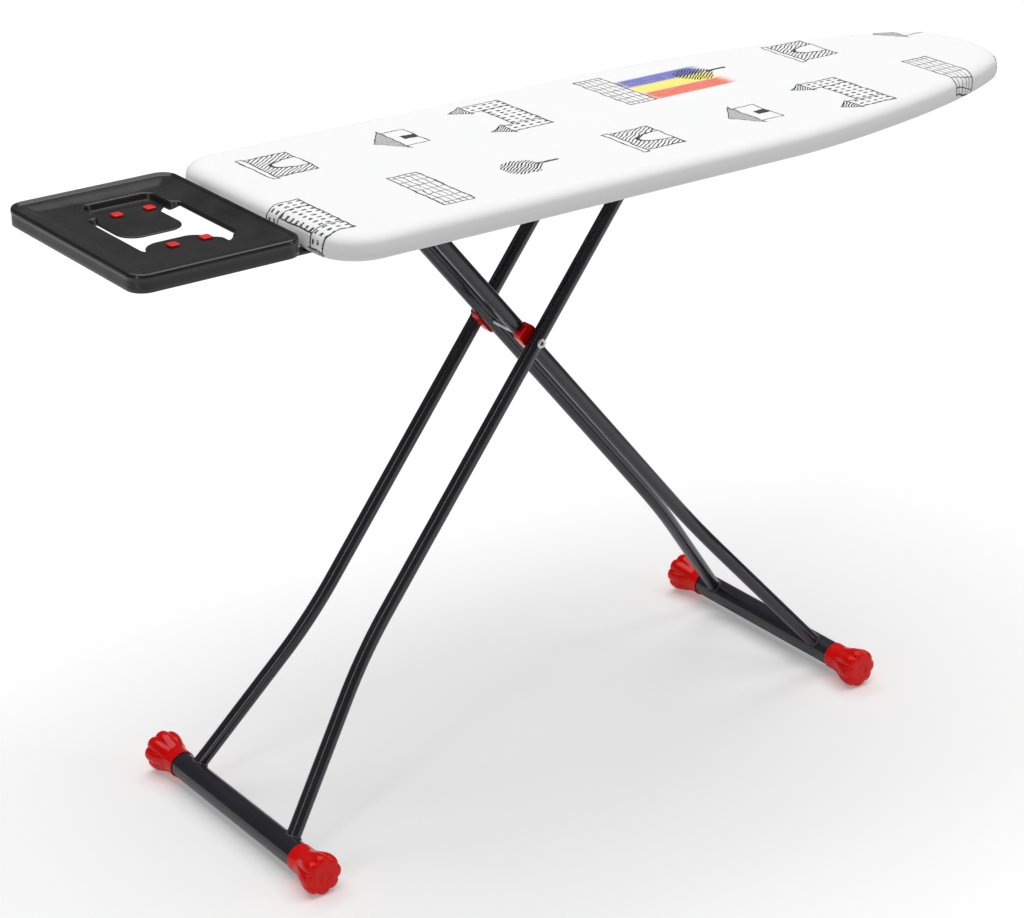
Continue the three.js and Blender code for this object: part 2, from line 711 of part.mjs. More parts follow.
function makeLug(y) {
  const top = deckBottom - touch;
  const low = catchRodZ - 8;
  const half = lugHalfLength;
  const shape = polygon([
    [catchRodX - half, top], [catchRodX - half, low + 5], [catchRodX - half + 5, low],
    [catchRodX + half - 5, low], [catchRodX + half, low + 5], [catchRodX + half, top],
  ]);
  const plate = plateXZ(shape, y - lugThickness / 2, y + lugThickness / 2);
  return cut(plate, barY(rodRadius + running, y - 5, y + 5, catchRodX, catchRodZ));
}

function makeSpring() {
  const turns = 4;
  const stepsPerTurn = 10;
  const wire = 0.8;
  const radius = rodRadius + wire + 1.4;
  const points = [];
  const steps = turns * stepsPerTurn;
  for (let i = 0; i <= steps; i += 1) {
    const angle = (i / stepsPerTurn) * Math.PI * 2;
    const y = 10 + (i / stepsPerTurn) * wire * 3;
    const [x, z] = [catchRodX + radius * Math.cos(angle), catchRodZ + radius * Math.sin(angle)];
    points.push(new THREE.Vector3(x, y, z));
  }
  const section = new THREE.Shape().absarc(0, 0, wire, 0, Math.PI * 2);
  const options = { steps, bevelEnabled: false, extrudePath: new PointPath(points), curveSegments: 3 };
  return new THREE.ExtrudeGeometry(section, options);
}

add(board, "height_catch", makeCatch(), zinc);
add(board, "catch_rod", barY(rodRadius, leverY - 5, catchRodFarEnd, catchRodX, catchRodZ), zinc);
add(board, "release_lever", makeLever(), zinc);
add(board, "lever_grip", makeGrip(), greyPlastic);
for (const [side, y] of lugPlaces) add(board, `catch_lug_${side}`, makeLug(y), blackPaint);
add(board, "catch_spring", makeSpring(), zinc);

// ---- Legs --------------------------------------------------------------------------------------

// Centre line of a leg tube in the leg's own frame: z along the leg, crossing pivot at z = 0.
function legPath(sign, halfSpacing, spread, lower, bend, top) {
  const foot = new THREE.Vector3(0, sign * spread, -lower);
  const corner = new THREE.Vector3(0, sign * halfSpacing, bend - lower);
  const towardsFoot = foot.clone().sub(corner).normalize().multiplyScalar(bendLength);
  const start = corner.clone().add(towardsFoot);
  const end = corner.clone().setZ(corner.z + bendLength);
  const curve = new THREE.QuadraticBezierCurve3(start, corner, end);
  return [foot, ...curve.getPoints(4), new THREE.Vector3(0, sign * halfSpacing, top)];
}

function makeLegTube(points, holes) {
  const section = new THREE.Shape().absarc(0, 0, legTubeRadius, 0, Math.PI * 2);
  section.holes.push(new THREE.Path().absarc(0, 0, legTubeRadius - legTubeWall, 0, Math.PI * 2));
  const options = { steps: points.length - 1, bevelEnabled: false, curveSegments: 8 };
  const tube = new THREE.ExtrudeGeometry(section, { ...options, extrudePath: new PointPath(points) });
  const foot = points[0];
  const bar = barY(footBarRadius + touch, foot.y - 60, foot.y + 60, 0, foot.z, 24);
  const bores = holes.map((z) => barY(rodRadius + running, -outerTubeFace - 5, outerTubeFace + 5, 0, z));
  return cut(tube, bar, ...bores);
}

function makeFootBar() {
  const half = footHalfWidth - footCapWall - footPlugDepth;
  const bar = barY(footBarRadius, -half, half, 0, 0, 24);
  return cut(bar, barY(footBarRadius - footBarWall, -half - 1, half + 1, 0, 0, 24));
}

// A foot cap: a collar that flares into a fluted end, built towards +Y from its collar edge.
// Each flute has four facets: a flat crest, its two flanks and the valley.
function makeFootCap() {
  const segments = footCapFlutes * 4;
  const halfFacet = Math.PI / segments;
  const collar = footBarRadius + footCapWall + touch;
  // Length from the collar edge, radius at the crests, and how far the valleys are pressed in.
  const stations = [
    [0, 0, 0], [0, collar, 0], [14, collar, 0], [30, 22.5, 0.55], [40, footCapRadius, 1],
    [footCapLength - 5, footCapRadius, 1], [footCapLength - 1, footCapRadius - 5, 0.8],
    [footCapLength, footCapRadius - 9, 0.4], [footCapLength, 0, 0],
  ];
  const profile = stations.map(([length, radius]) => new THREE.Vector2(radius, length));
  const geometry = new THREE.LatheGeometry(profile, segments, halfFacet);
  const position = geometry.attributes.position;
  const depth = footCapRadius - footCapValleyRadius;
  for (let i = 0; i < position.count; i += 1) {
    const [, radius, pressed] = stations[i % stations.length];
    const facet = Math.floor(i / stations.length) % 4;
    const valley = facet === 1 || facet === 2;
    const facetRadius = valley ? radius - depth * pressed : radius;
    const scale = radius > 0 ? facetRadius / radius / Math.cos(halfFacet) : 1;
    position.setX(i, position.getX(i) * scale);
    position.setZ(i, position.getZ(i) * scale);
  }
  const socketEnd = footCapLength - footCapWall - footPlugDepth + touch;
  const socket = barY(footBarRadius + touch, -1, socketEnd, 0, 0, 24);
  return cut(geometry, socket);
}

function addFoot(name, x) {
  const bar = add(group, `${name}_foot_bar`, makeFootBar(), blackPaint);
  bar.position.set(x, 0, footHeight);
  for (const [side, sign] of sides) {
    const cap = add(group, `${name}_foot_cap_${side}`, makeFootCap(), redPlastic);
    cap.position.set(x, sign * (footHalfWidth - footCapLength), footHeight);
    cap.rotation.z = sign < 0 ? Math.PI : 0;
  }
}

for (const [side, sign] of sides) {
  const outerTop = outerUpper + rodEndMargin;
  const outer = legPath(sign, outerHalfSpacing, outerSpread, outerLower, outerBend, outerTop);
  add(outerLeg, `outer_leg_tube_${side}`, makeLegTube(outer, [0, outerUpper]), blackPaint);
  const innerTop = innerUpper + rodEndMargin;
  const inner = legPath(sign, innerHalfSpacing, innerSpread, innerLower, innerBend, innerTop);
  add(innerLeg, `inner_leg_tube_${side}`, makeLegTube(inner, [0, innerUpper]), blackPaint);
}
addFoot("outer", outerFootX);
addFoot("inner", innerFootX);

// ---- Crossing pivot ----------------------------------------------------------------------------

const collarThickness = 1.6;
const axleEnd = outerTubeFace + touch + collarThickness + 0.6;

function makeAxle() {
  const axle = barY(rodRadius, -axleEnd, axleEnd);
  return cut(axle, barY(axleBore / 2, -axleEnd - 1, axleEnd + 1, 0, 0, 12));
}

function makeRivetCollar() {
  const bore = rodRadius + 0.1;
  const rim = rodRadius + 2.4;
  const points = [[bore, 0], [rim, 0], [rim, 0.8], [rim - 0.8, collarThickness]];
  points.push([bore, collarThickness], [bore, 0]);
  return new THREE.LatheGeometry(points.map(([r, h]) => new THREE.Vector2(r, h)), 20);
}

// A saddle that lies along the inner tube and keeps the outer tube off it.
function makeSaddle() {
  const halfLength = 20;
  const halfHeight = 12.5;
  const outerY = outerHalfSpacing - legTubeRadius - touch;
  const innerY = innerHalfSpacing + 2;
  const shape = roundedRectangle(-halfHeight, halfHeight, -halfLength, halfLength, 9);
  const body = plateXZ(shape, innerY, outerY, 5);
  const tube = new THREE.CylinderGeometry(legTubeRadius + touch, legTubeRadius + touch, 60, 24);
  tube.rotateX(Math.PI / 2).translate(0, innerHalfSpacing, 0);
  return cut(body, tube, barY(rodRadius + running, innerY - 5, outerY + 5));
}

add(outerLeg, "pivot_axle", makeAxle(), zinc);
for (const [side, sign] of sides) {
  const collar = add(outerLeg, `rivet_collar_${side}`, makeRivetCollar(), zinc);
  collar.position.y = sign * (outerTubeFace + touch);
  collar.rotation.x = sign < 0 ? Math.PI : 0;
  const saddle = add(innerLeg, `pivot_saddle_${side}`, makeSaddle(), redPlastic);
  saddle.rotation.z = sign < 0 ? Math.PI : 0;
}

// ---- Slider ------------------------------------------------------------------------------------

const bushFlange = 1.4;
const bushPlay = 0.5;
const bushInnerY = railInnerY - bushPlay - bushFlange;
const bushOuterY = railOuterY + bushPlay + bushFlange;

function makeBush() {
  const bore = rodRadius + touch;
  const sleeve = rodRadius + 1.3;
  const flange = rodRadius + 5;
  const points = [[bore, bushInnerY], [flange, bushInnerY], [flange, bushInnerY + bushFlange]];
  points.push([sleeve, bushInnerY + bushFlange], [sleeve, bushOuterY - bushFlange]);
  points.push([flange, bushOuterY - bushFlange], [flange, bushOuterY]);
  points.push([bore, bushOuterY], [bore, bushInnerY]);
  return new THREE.LatheGeometry(points.map(([r, h]) => new THREE.Vector2(r, h)), 20);
}

const sliderRodEnd = bushOuterY + capReach + capFloor - touch;
add(innerLeg, "slider_rod", barY(rodRadius, -sliderRodEnd, sliderRodEnd, 0, innerUpper), zinc);
for (const [side, sign] of sides) {
  const bush = add(innerLeg, `slider_bush_${side}`, makeBush(), greyPlastic);
  bush.position.z = innerUpper;
  bush.rotation.x = sign < 0 ? Math.PI : 0;
  const cap = add(innerLeg, `slider_cap_${side}`, makePushCap(), zinc);
  cap.position.set(0, sign * (bushOuterY + capReach), innerUpper);
  cap.rotation.x = sign < 0 ? Math.PI : 0;
}

export default group;
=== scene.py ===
# %% [markdown]
# # A folding ironing board
# The board is a padded, printed cover over a steel deck. It stands on two crossed leg frames, and a
# pressed steel tray at the square end holds the iron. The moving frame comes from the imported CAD
# model. This file makes the fine surfaces around it: cloth, felt, painted tube, enamel, zinc and
# moulded plastic. Everything is in metres, +X towards the nose, +Y to the far side and +Z up.

# %% Load the frame
import json
import math

import bmesh
import bpy
import numpy as np
from mathutils import Euler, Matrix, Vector


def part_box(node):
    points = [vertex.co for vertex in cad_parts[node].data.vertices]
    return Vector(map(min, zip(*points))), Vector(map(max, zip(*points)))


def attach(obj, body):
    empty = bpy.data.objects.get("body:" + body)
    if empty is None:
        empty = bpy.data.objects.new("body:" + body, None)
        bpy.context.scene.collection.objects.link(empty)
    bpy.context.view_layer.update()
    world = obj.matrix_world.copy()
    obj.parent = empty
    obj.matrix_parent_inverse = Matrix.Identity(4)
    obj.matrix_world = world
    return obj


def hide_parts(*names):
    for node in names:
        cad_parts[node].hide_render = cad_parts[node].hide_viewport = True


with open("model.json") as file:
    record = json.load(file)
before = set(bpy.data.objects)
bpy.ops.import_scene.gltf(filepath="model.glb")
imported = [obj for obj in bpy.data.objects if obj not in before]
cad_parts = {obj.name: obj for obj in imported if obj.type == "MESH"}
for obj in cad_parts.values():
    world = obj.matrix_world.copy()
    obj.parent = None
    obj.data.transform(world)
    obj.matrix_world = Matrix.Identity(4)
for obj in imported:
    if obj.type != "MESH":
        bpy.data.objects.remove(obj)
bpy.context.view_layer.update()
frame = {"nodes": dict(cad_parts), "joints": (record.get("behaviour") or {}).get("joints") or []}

# %% [markdown]
# The default scene's cube, lamp and camera are removed, so that only this object is left. The
# places below are read from the frame: the top hinge, the crossing pivot and the foot bars are
# what the legs are drawn between, so the fine tubes lie exactly where the CAD tubes lie.

# %% Places read from the frame
for name in ("Cube", "Light", "Camera"):
    if name in bpy.data.objects:
        bpy.data.objects.remove(bpy.data.objects[name])

MM = 0.001
joint_places = {joint["name"]: Vector(joint["pos_m"]) for joint in frame["joints"]}
HINGE = joint_places["leg_fold"]
PIVOT = joint_places["leg_cross"]


def middle(node):
    low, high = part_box(node)
    return (low + high) / 2


OUTER_FOOT = middle("outer_foot_bar")
INNER_FOOT = middle("inner_foot_bar")
SLIDER = middle("slider_rod")
cover_low, cover_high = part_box("cover")
TAIL_X, NOSE_X = cover_low.x, cover_high.x
HALF_WIDTH = cover_high.y
TOP_Z, BAND_Z = cover_high.z, cover_low.z
print("board", round(NOSE_X - TAIL_X, 4), "by", round(2 * HALF_WIDTH, 4), "at height", round(TOP_Z, 4))

# %% [markdown]
# ## Mesh helpers
# Every piece ends the same way: it is linked, it gets a material, it rides on a body, and it may stand
# for CAD nodes. One helper does that, so no piece can miss a step.

# %% Make and place pieces
def mesh_piece(name, points, faces, smooth=True):
    mesh = bpy.data.meshes.new(name)
    mesh.from_pydata([tuple(point) for point in points], [], faces)
    work = bmesh.new()
    work.from_mesh(mesh)
    bmesh.ops.recalc_face_normals(work, faces=work.faces)
    work.to_mesh(mesh)
    work.free()
    mesh.shade_smooth() if smooth else mesh.shade_flat()
    piece = bpy.data.objects.new(name, mesh)
    bpy.context.scene.collection.objects.link(piece)
    return piece


def place(piece, body, slot, material, *nodes):
    piece.data.materials.clear()
    piece.data.materials.append(material)
    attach(piece, body)
    if nodes:
        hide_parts(*nodes)
    print(f"{piece.name}: {len(piece.data.polygons)} faces, on {body}")
    return piece


def sharpen(piece, degrees=35):
    """Smooth shading, with the edges that turn more than this kept crisp."""
    piece.data.set_sharp_from_angle(angle=math.radians(degrees))
    return piece


def loop_faces(first, second, count):
    """Quads between two rings of points that start at these indices."""
    return [
        (first + i, first + (i + 1) % count, second + (i + 1) % count, second + i)
        for i in range(count)
    ]


# %% [markdown]
# ## Node helpers
# A procedural finish is many small sums. `Pen` writes them as plain calls, such as
# `pen.add(a, b)`, so that a material reads like a formula and not like a wiring list. A number or a
# socket may be given for either side.

# %% A pen that draws with math nodes
class Pen:
    def __init__(self, tree):
        self.tree = tree

    def node(self, kind, **settings):
        made = self.tree.nodes.new(kind)
        for key, value in settings.items():
            setattr(made, key, value)
        return made

    def feed(self, socket, value):
        if isinstance(value, bpy.types.NodeSocket):
            self.tree.links.new(value, socket)
        else:
            socket.default_value = value

    def math(self, operation, *values):
        made = self.node("ShaderNodeMath", operation=operation)
        for socket, value in zip(made.inputs, values):
            self.feed(socket, value)
        return made.outputs[0]

    def add(self, a, b):
        return self.math("ADD", a, b)

    def less(self, a, b):
        return self.math("LESS_THAN", a, b)

    def more(self, a, b):
        return self.math("GREATER_THAN", a, b)

    def times(self, *values):
        result = values[0]
        for value in values[1:]:
            result = self.math("MULTIPLY", result, value)
        return result

    def most(self, *values):
        result = values[0]
        for value in values[1:]:
            result = self.math("MAXIMUM", result, value)
        return result

    def off(self, a, centre):
        """Distance of a from a centre."""
        return self.math("ABSOLUTE", self.math("SUBTRACT", a, centre))

    def ramp(self, a, low, high, to_low=0.0, to_high=1.0):
        made = self.node("ShaderNodeMapRange", interpolation_type="SMOOTHSTEP")
        for index, value in enumerate((a, low, high, to_low, to_high)):
            self.feed(made.inputs[index], value)
        return made.outputs[0]

    def noise(self, vector, scale, detail=2.0, roughness=0.5, stretch=None):
        if stretch:
            vector = self.vector("MULTIPLY", vector, stretch)
        made = self.node("ShaderNodeTexNoise")
        self.feed(made.inputs["Vector"], vector)
        made.inputs["Scale"].default_value = scale
        made.inputs["Detail"].default_value = detail
        made.inputs["Roughness"].default_value = roughness
        return made.outputs["Fac"]

    def vector(self, operation, a, b):
        made = self.node("ShaderNodeVectorMath", operation=operation)
        self.feed(made.inputs[0], a)
        self.feed(made.inputs[1], b)
        return made.outputs[0]

    def split(self, vector):
        made = self.node("ShaderNodeSeparateXYZ")
        self.feed(made.inputs[0], vector)
        return made.outputs[0], made.outputs[1], made.outputs[2]

    def mix(self, share, a, b):
        made = self.node("ShaderNodeMix", data_type="RGBA")
        self.feed(made.inputs["Factor"], share)
        self.feed(made.inputs[6], a)
        self.feed(made.inputs[7], b)
        return made.outputs[2]

    def bump(self, height, strength, distance):
        made = self.node("ShaderNodeBump")
        made.inputs["Strength"].default_value = strength
        made.inputs["Distance"].default_value = distance
        self.feed(made.inputs["Height"], height)
        return made.outputs["Normal"]

    def object_place(self):
        return self.node("ShaderNodeTexCoord").outputs["Object"]

    def use(self, group, **inputs):
        made = self.node("ShaderNodeGroup", node_tree=group)
        for key, value in inputs.items():
            self.feed(made.inputs[key.replace("_", " ")], value)
        return made.outputs


def new_group(name, inputs, outputs):
    """A node group with named sockets. Returns its pen, its input sockets and its output node."""
    tree = bpy.data.node_groups.new(name, "ShaderNodeTree")
    for label, kind, default in inputs:
        socket = tree.interface.new_socket(label, in_out="INPUT", socket_type=kind)
        if default is not None:
            socket.default_value = default
    for label, kind in outputs:
        tree.interface.new_socket(label, in_out="OUTPUT", socket_type=kind)
    pen = Pen(tree)
    return pen, pen.node("NodeGroupInput").outputs, pen.node("NodeGroupOutput").inputs


FLOAT, COLOUR, VECTOR = "NodeSocketFloat", "NodeSocketColor", "NodeSocketVector"


def rgb(red, green, blue):
    return (red, green, blue, 1.0)


# %% [markdown]
# ## Effects that several finishes share
# Handled metal shows where it has been handled: corners and edges lose their paint first. The mask
# compares the surface's normal with one that is rounded over a small radius. They differ only near
# an edge, and a noise breaks the line up, because wear is never even.

# %% Edge wear
def build_edge_wear():
    pen, given, out = new_group(
        "Edge wear",
        [("Place", VECTOR, None), ("Amount", FLOAT, 0.5)],
        [("Mask", FLOAT)],
    )
    rounded = pen.node("ShaderNodeBevel", samples=4)
    rounded.inputs["Radius"].default_value = 1.1 * MM
    true = pen.node("ShaderNodeNewGeometry")
    likeness = pen.node("ShaderNodeVectorMath", operation="DOT_PRODUCT")
    pen.feed(likeness.inputs[0], rounded.outputs["Normal"])
    pen.feed(likeness.inputs[1], true.outputs["Normal"])
    edge = pen.ramp(likeness.outputs["Value"], 0.998, 0.93)
    patches = pen.ramp(pen.noise(given["Place"], 90.0, 3.0), 0.42, 0.62)
    pen.feed(out["Mask"], pen.times(edge, patches, given["Amount"]))
    return pen.tree


EDGE_WEAR = build_edge_wear()

# %% [markdown]
# Sprayed powder melts into a film with a faint orange-peel ripple, and plastic keeps the texture of
# its mould. Both are a fine noise in the height and a broader one in the gloss, where hands and
# dust have been.

# %% Skin: a fine ripple and uneven gloss
def build_skin():
    pen, given, out = new_group(
        "Skin",
        [("Place", VECTOR, None), ("Ripple Scale", FLOAT, 400.0)],
        [("Height", FLOAT), ("Gloss Patches", FLOAT), ("Dust", FLOAT)],
    )
    ripple = pen.node("ShaderNodeTexNoise")
    pen.feed(ripple.inputs["Vector"], given["Place"])
    pen.feed(ripple.inputs["Scale"], given["Ripple Scale"])
    pen.feed(out["Height"], ripple.outputs["Fac"])
    pen.feed(out["Gloss Patches"], pen.noise(given["Place"], 14.0, 4.0, 0.6))
    facing = pen.node("ShaderNodeNewGeometry").outputs["Normal"]
    up = pen.ramp(pen.split(facing)[2], 0.35, 1.0)
    specks = pen.ramp(pen.noise(given["Place"], 700.0, 2.0), 0.52, 0.72)
    pen.feed(out["Dust"], pen.times(up, specks))
    return pen.tree


SKIN = build_skin()

# %% [markdown]
# Plated and drawn metal carries faint lines along the direction it was drawn or polished in, so
# its noise is stretched along one axis.

# %% Drawn lines
def build_drawn_lines():
    pen, given, out = new_group(
        "Drawn lines",
        [("Place", VECTOR, None), ("Across", VECTOR, None)],
        [("Height", FLOAT), ("Tarnish", FLOAT)],
    )
    squeezed = pen.vector("MULTIPLY", given["Place"], given["Across"])
    pen.feed(out["Height"], pen.noise(squeezed, 1.0, 3.0, 0.7))
    pen.feed(out["Tarnish"], pen.ramp(pen.noise(given["Place"], 60.0, 4.0, 0.65), 0.4, 0.75))
    return pen.tree


DRAWN_LINES = build_drawn_lines()

# %% [markdown]
# ## Finishes
# Each finish is one Principled surface. Its constants are set on the surface itself, and only what
# changes over the surface comes from nodes.

# %% Start a finish
def new_finish(name, **constants):
    material = bpy.data.materials.new(name)
    material.use_nodes = True
    tree = material.node_tree
    surface = tree.nodes["Principled BSDF"]
    for key, value in constants.items():
        surface.inputs[key.replace("_", " ")].default_value = value
    return material, Pen(tree), surface


def painted_metal(name, colour, worn, roughness, ripple, wear, dust, bump, **constants):
    """Sprayed or dipped paint over steel, with worn edges and a little dust on what faces up."""
    material, pen, surface = new_finish(name, **constants)
    spot = pen.object_place()
    skin = pen.use(SKIN, Place=spot, Ripple_Scale=ripple)
    edge = pen.use(EDGE_WEAR, Place=spot, Amount=wear)["Mask"]
    depth = pen.ramp(skin["Gloss Patches"], 0.3, 0.7)
    deep, light = colour
    shade = pen.mix(depth, deep, light)
    dusty = pen.mix(pen.times(skin["Dust"], dust), shade, rgb(0.34, 0.33, 0.31))
    pen.feed(surface.inputs["Base Color"], pen.mix(edge, dusty, worn))
    gloss = pen.ramp(skin["Gloss Patches"], 0.3, 0.75, roughness[0], roughness[1])
    dulled = pen.math("MULTIPLY_ADD", skin["Dust"], 0.5 * dust, gloss)
    pen.feed(surface.inputs["Roughness"], pen.add(dulled, pen.times(edge, 0.12)))
    pen.feed(surface.inputs["Metallic"], pen.times(edge, 0.8))
    pen.feed(surface.inputs["Coat Weight"], pen.ramp(skin["Gloss Patches"], 0.25, 0.8, 0.22, 0.06))
    pen.feed(surface.inputs["Normal"], pen.bump(skin["Height"], bump, 0.12 * MM))
    return material


# %% [markdown]
# The tubes and the frame are powder coated in a near-black with a faint violet cast. The iron rest
# is glossier: enamel that has flowed and been fired.

# %% Black paints
TUBE_PAINT = painted_metal(
    "anthracite powder coat",
    (rgb(0.013, 0.012, 0.019), rgb(0.021, 0.019, 0.030)),
    rgb(0.30, 0.29, 0.28),
    (0.15, 0.22), 520.0, 0.35, 0.03, 0.10, Coat_Roughness=0.06, Specular_IOR_Level=0.75,
)
REST_ENAMEL = painted_metal(
    "black fired enamel",
    (rgb(0.007, 0.007, 0.008), rgb(0.016, 0.016, 0.017)),
    rgb(0.22, 0.21, 0.20),
    (0.24, 0.36), 260.0, 0.30, 0.04, 0.30, Coat_Roughness=0.12,
)
print("paints:", TUBE_PAINT.name, "and", REST_ENAMEL.name)

# %% [markdown]
# Bright zinc plate is a thin bluish skin over drawn steel. It scratches along the part and dulls in
# blotches where it has been handled.

# %% Zinc plate
def zinc_plate(name, across):
    material, pen, surface = new_finish(name, Metallic=1.0, Anisotropic=0.35)
    spot = pen.object_place()
    lines = pen.use(DRAWN_LINES, Place=spot, Across=across)
    edge = pen.use(EDGE_WEAR, Place=spot, Amount=0.4)["Mask"]
    plate = pen.mix(lines["Tarnish"], rgb(0.74, 0.76, 0.79), rgb(0.52, 0.52, 0.50))
    pen.feed(surface.inputs["Base Color"], pen.mix(edge, plate, rgb(0.86, 0.86, 0.86)))
    rough = pen.ramp(lines["Tarnish"], 0.0, 1.0, 0.20, 0.42)
    pen.feed(surface.inputs["Roughness"], pen.math("MULTIPLY_ADD", lines["Height"], 0.10, rough))
    pen.feed(surface.inputs["Normal"], pen.bump(lines["Height"], 0.25, 0.06 * MM))
    return material


ZINC_ROD = zinc_plate("zinc plate on drawn rod", (900.0, 60.0, 900.0))
ZINC_SHEET = zinc_plate("zinc plate on sheet", (70.0, 900.0, 700.0))

# %% [markdown]
# Three moulded materials: a glossy red plastic on the feet and saddles, a soft red silicone on the
# pads, and a dark satin plastic on the bushes and the grip. Flow marks make the red a little deeper
# in places, and scuffs lighten it near the edges that meet the floor.

# %% Moulded plastics
def moulded(name, colours, worn, roughness, ripple, bump, scuff, **constants):
    material, pen, surface = new_finish(name, **constants)
    spot = pen.object_place()
    skin = pen.use(SKIN, Place=spot, Ripple_Scale=ripple)
    edge = pen.use(EDGE_WEAR, Place=spot, Amount=scuff)["Mask"]
    flow = pen.ramp(pen.noise(spot, 26.0, 3.0, 0.55, stretch=(1.0, 0.35, 1.0)), 0.35, 0.7)
    base = pen.mix(flow, colours[0], colours[1])
    pen.feed(surface.inputs["Base Color"], pen.mix(edge, base, worn))
    gloss = pen.ramp(skin["Gloss Patches"], 0.3, 0.75, roughness[0], roughness[1])
    pen.feed(surface.inputs["Roughness"], pen.add(gloss, pen.times(edge, 0.25)))
    pen.feed(surface.inputs["Normal"], pen.bump(skin["Height"], bump, 0.1 * MM))
    return material


RED_PLASTIC = moulded(
    "glossy red plastic",
    (rgb(0.84, 0.0016, 0.0012), rgb(0.96, 0.0034, 0.0020)),
    rgb(0.82, 0.10, 0.08),
    (0.12, 0.20), 330.0, 0.12, 0.20,
    Coat_Weight=0.05, Coat_Roughness=0.06, Specular_IOR_Level=0.28,
)
RED_SILICONE = moulded(
    "red silicone",
    (rgb(0.70, 0.008, 0.006), rgb(0.84, 0.014, 0.010)),
    rgb(0.70, 0.06, 0.05),
    (0.42, 0.58), 900.0, 0.35, 0.2,
    Subsurface_Weight=0.08, Subsurface_Scale=0.002,
)
DARK_PLASTIC = moulded(
    "dark satin plastic",
    (rgb(0.018, 0.018, 0.020), rgb(0.030, 0.030, 0.032)),
    rgb(0.16, 0.16, 0.16),
    (0.38, 0.55), 1300.0, 0.5, 0.5,
)
print("moulded finishes:", RED_PLASTIC.name, RED_SILICONE.name, DARK_PLASTIC.name)

# %% [markdown]
# ## The printed cotton
# The cover is white plain-weave cotton with small ink drawings that repeat along the board: a
# castle, an arch, some brickwork, a cottage and a tree, and three swipes of paint. A printer would
# screen them on the flat cloth, so they are drawn here in the cloth's own flat coordinates, which
# the cover mesh carries as an attribute. The drawings then wrap over the edge of the board as the
# cloth does. Each drawing is made of boxes, ovals and hatching, in millimetres on its own sheet:
# `a` runs along the ground and `b` runs up from it.

# %% Shapes to draw with
class InkPen(Pen):
    def box(self, a, b, a0, a1, b0, b1):
        """Below zero inside the box, and zero along its outline."""
        across = self.math("SUBTRACT", self.off(a, (a0 + a1) / 2), (a1 - a0) / 2)
        upward = self.math("SUBTRACT", self.off(b, (b0 + b1) / 2), (b1 - b0) / 2)
        return self.most(across, upward)

    def oval(self, a, b, centre, radii):
        across = self.times(self.math("SUBTRACT", a, centre[0]), 1 / radii[0])
        upward = self.times(self.math("SUBTRACT", b, centre[1]), 1 / radii[1])
        length = self.math("MULTIPLY_ADD", across, across, self.times(upward, upward))
        return self.times(self.math("SUBTRACT", self.math("SQRT", length), 1.0), min(radii))

    def roof(self, a, b, centre, foot, half_width, height):
        """A pointed roof: its two slopes meet at the top."""
        taper = self.math("MULTIPLY_ADD", b, half_width / height, self.off(a, centre))
        slope = self.math("SUBTRACT", taper, half_width + foot * half_width / height)
        return self.most(slope, self.math("SUBTRACT", foot, b))

    def line(self, edge, width=1.0):
        return self.math("COMPARE", edge, 0.0, width)

    def inside(self, edge):
        return self.less(edge, 0.0)

    def hatch(self, a, b, slant, pitch, share):
        run = self.times(self.math("MULTIPLY_ADD", b, slant, a), 1 / pitch)
        return self.less(self.math("FRACT", run), share)

    def panes(self, a, b, width, height, share_a, share_b):
        """A grid of small windows."""
        column = self.less(self.math("FRACT", self.times(a, 1 / width)), share_a)
        row = self.less(self.math("FRACT", self.times(b, 1 / height)), share_b)
        return self.times(column, row)


def new_drawing(name):
    inputs = [("a", FLOAT, 0.0), ("b", FLOAT, 0.0), ("Grit", FLOAT, 0.5), ("Flow", FLOAT, 0.5)]
    tree = new_group(name, inputs, [("Ink", FLOAT)])[0].tree
    pen = InkPen(tree)
    given = next(node for node in tree.nodes if node.type == "GROUP_INPUT").outputs
    out = next(node for node in tree.nodes if node.type == "GROUP_OUTPUT").inputs
    return pen, given["a"], given["b"], given["Grit"], given["Flow"], out["Ink"]


# %% [markdown]
# Each drawing is a plain sign made of a few simple shapes. `Grit` is a fine noise that makes the
# pen's line skip, and `Flow` is a broad one that ruffles the tree's crown.

# %% Five small drawings
def draw_castle():
    pen, a, b, grit, _, ink = new_drawing("Ink castle")
    hall = pen.box(a, b, -40, 40, 0, 50)
    towers = [pen.box(a, b, middle - 15, middle + 15, 0, 70) for middle in (-55, 55)]
    roofs = [pen.roof(a, b, middle, 70, 20, 30) for middle in (-55, 55)]
    walls = pen.most(*[pen.inside(part) for part in (hall, *towers)])
    windows = pen.times(walls, pen.panes(a, b, 12.0, 14.0, 0.4, 0.5), pen.more(grit, 0.36))
    tiles = pen.times(pen.most(*[pen.inside(roof) for roof in roofs]), pen.hatch(a, b, 0.8, 5.0, 0.5))
    outlines = pen.most(*[pen.line(part, 1.3) for part in (hall, *towers, *roofs)])
    pen.feed(ink, pen.most(pen.times(outlines, pen.more(grit, 0.32)), windows, tiles))
    return pen.tree


def draw_arch():
    pen, a, b, grit, _, ink = new_drawing("Ink arch")
    block = pen.box(a, b, -45, 45, 0, 70)
    top = pen.box(a, b, -50, 50, 70, 80)
    opening = pen.most(pen.oval(a, b, (0, 0), (20, 50)), pen.times(b, -1.0))
    shade = pen.times(pen.inside(block), pen.more(opening, 0.0), pen.hatch(a, b, 0.7, 7.0, 0.35))
    outlines = pen.most(*[pen.line(part, 1.3) for part in (block, top, opening)])
    pen.feed(ink, pen.most(pen.times(outlines, pen.more(grit, 0.32)), shade))
    return pen.tree


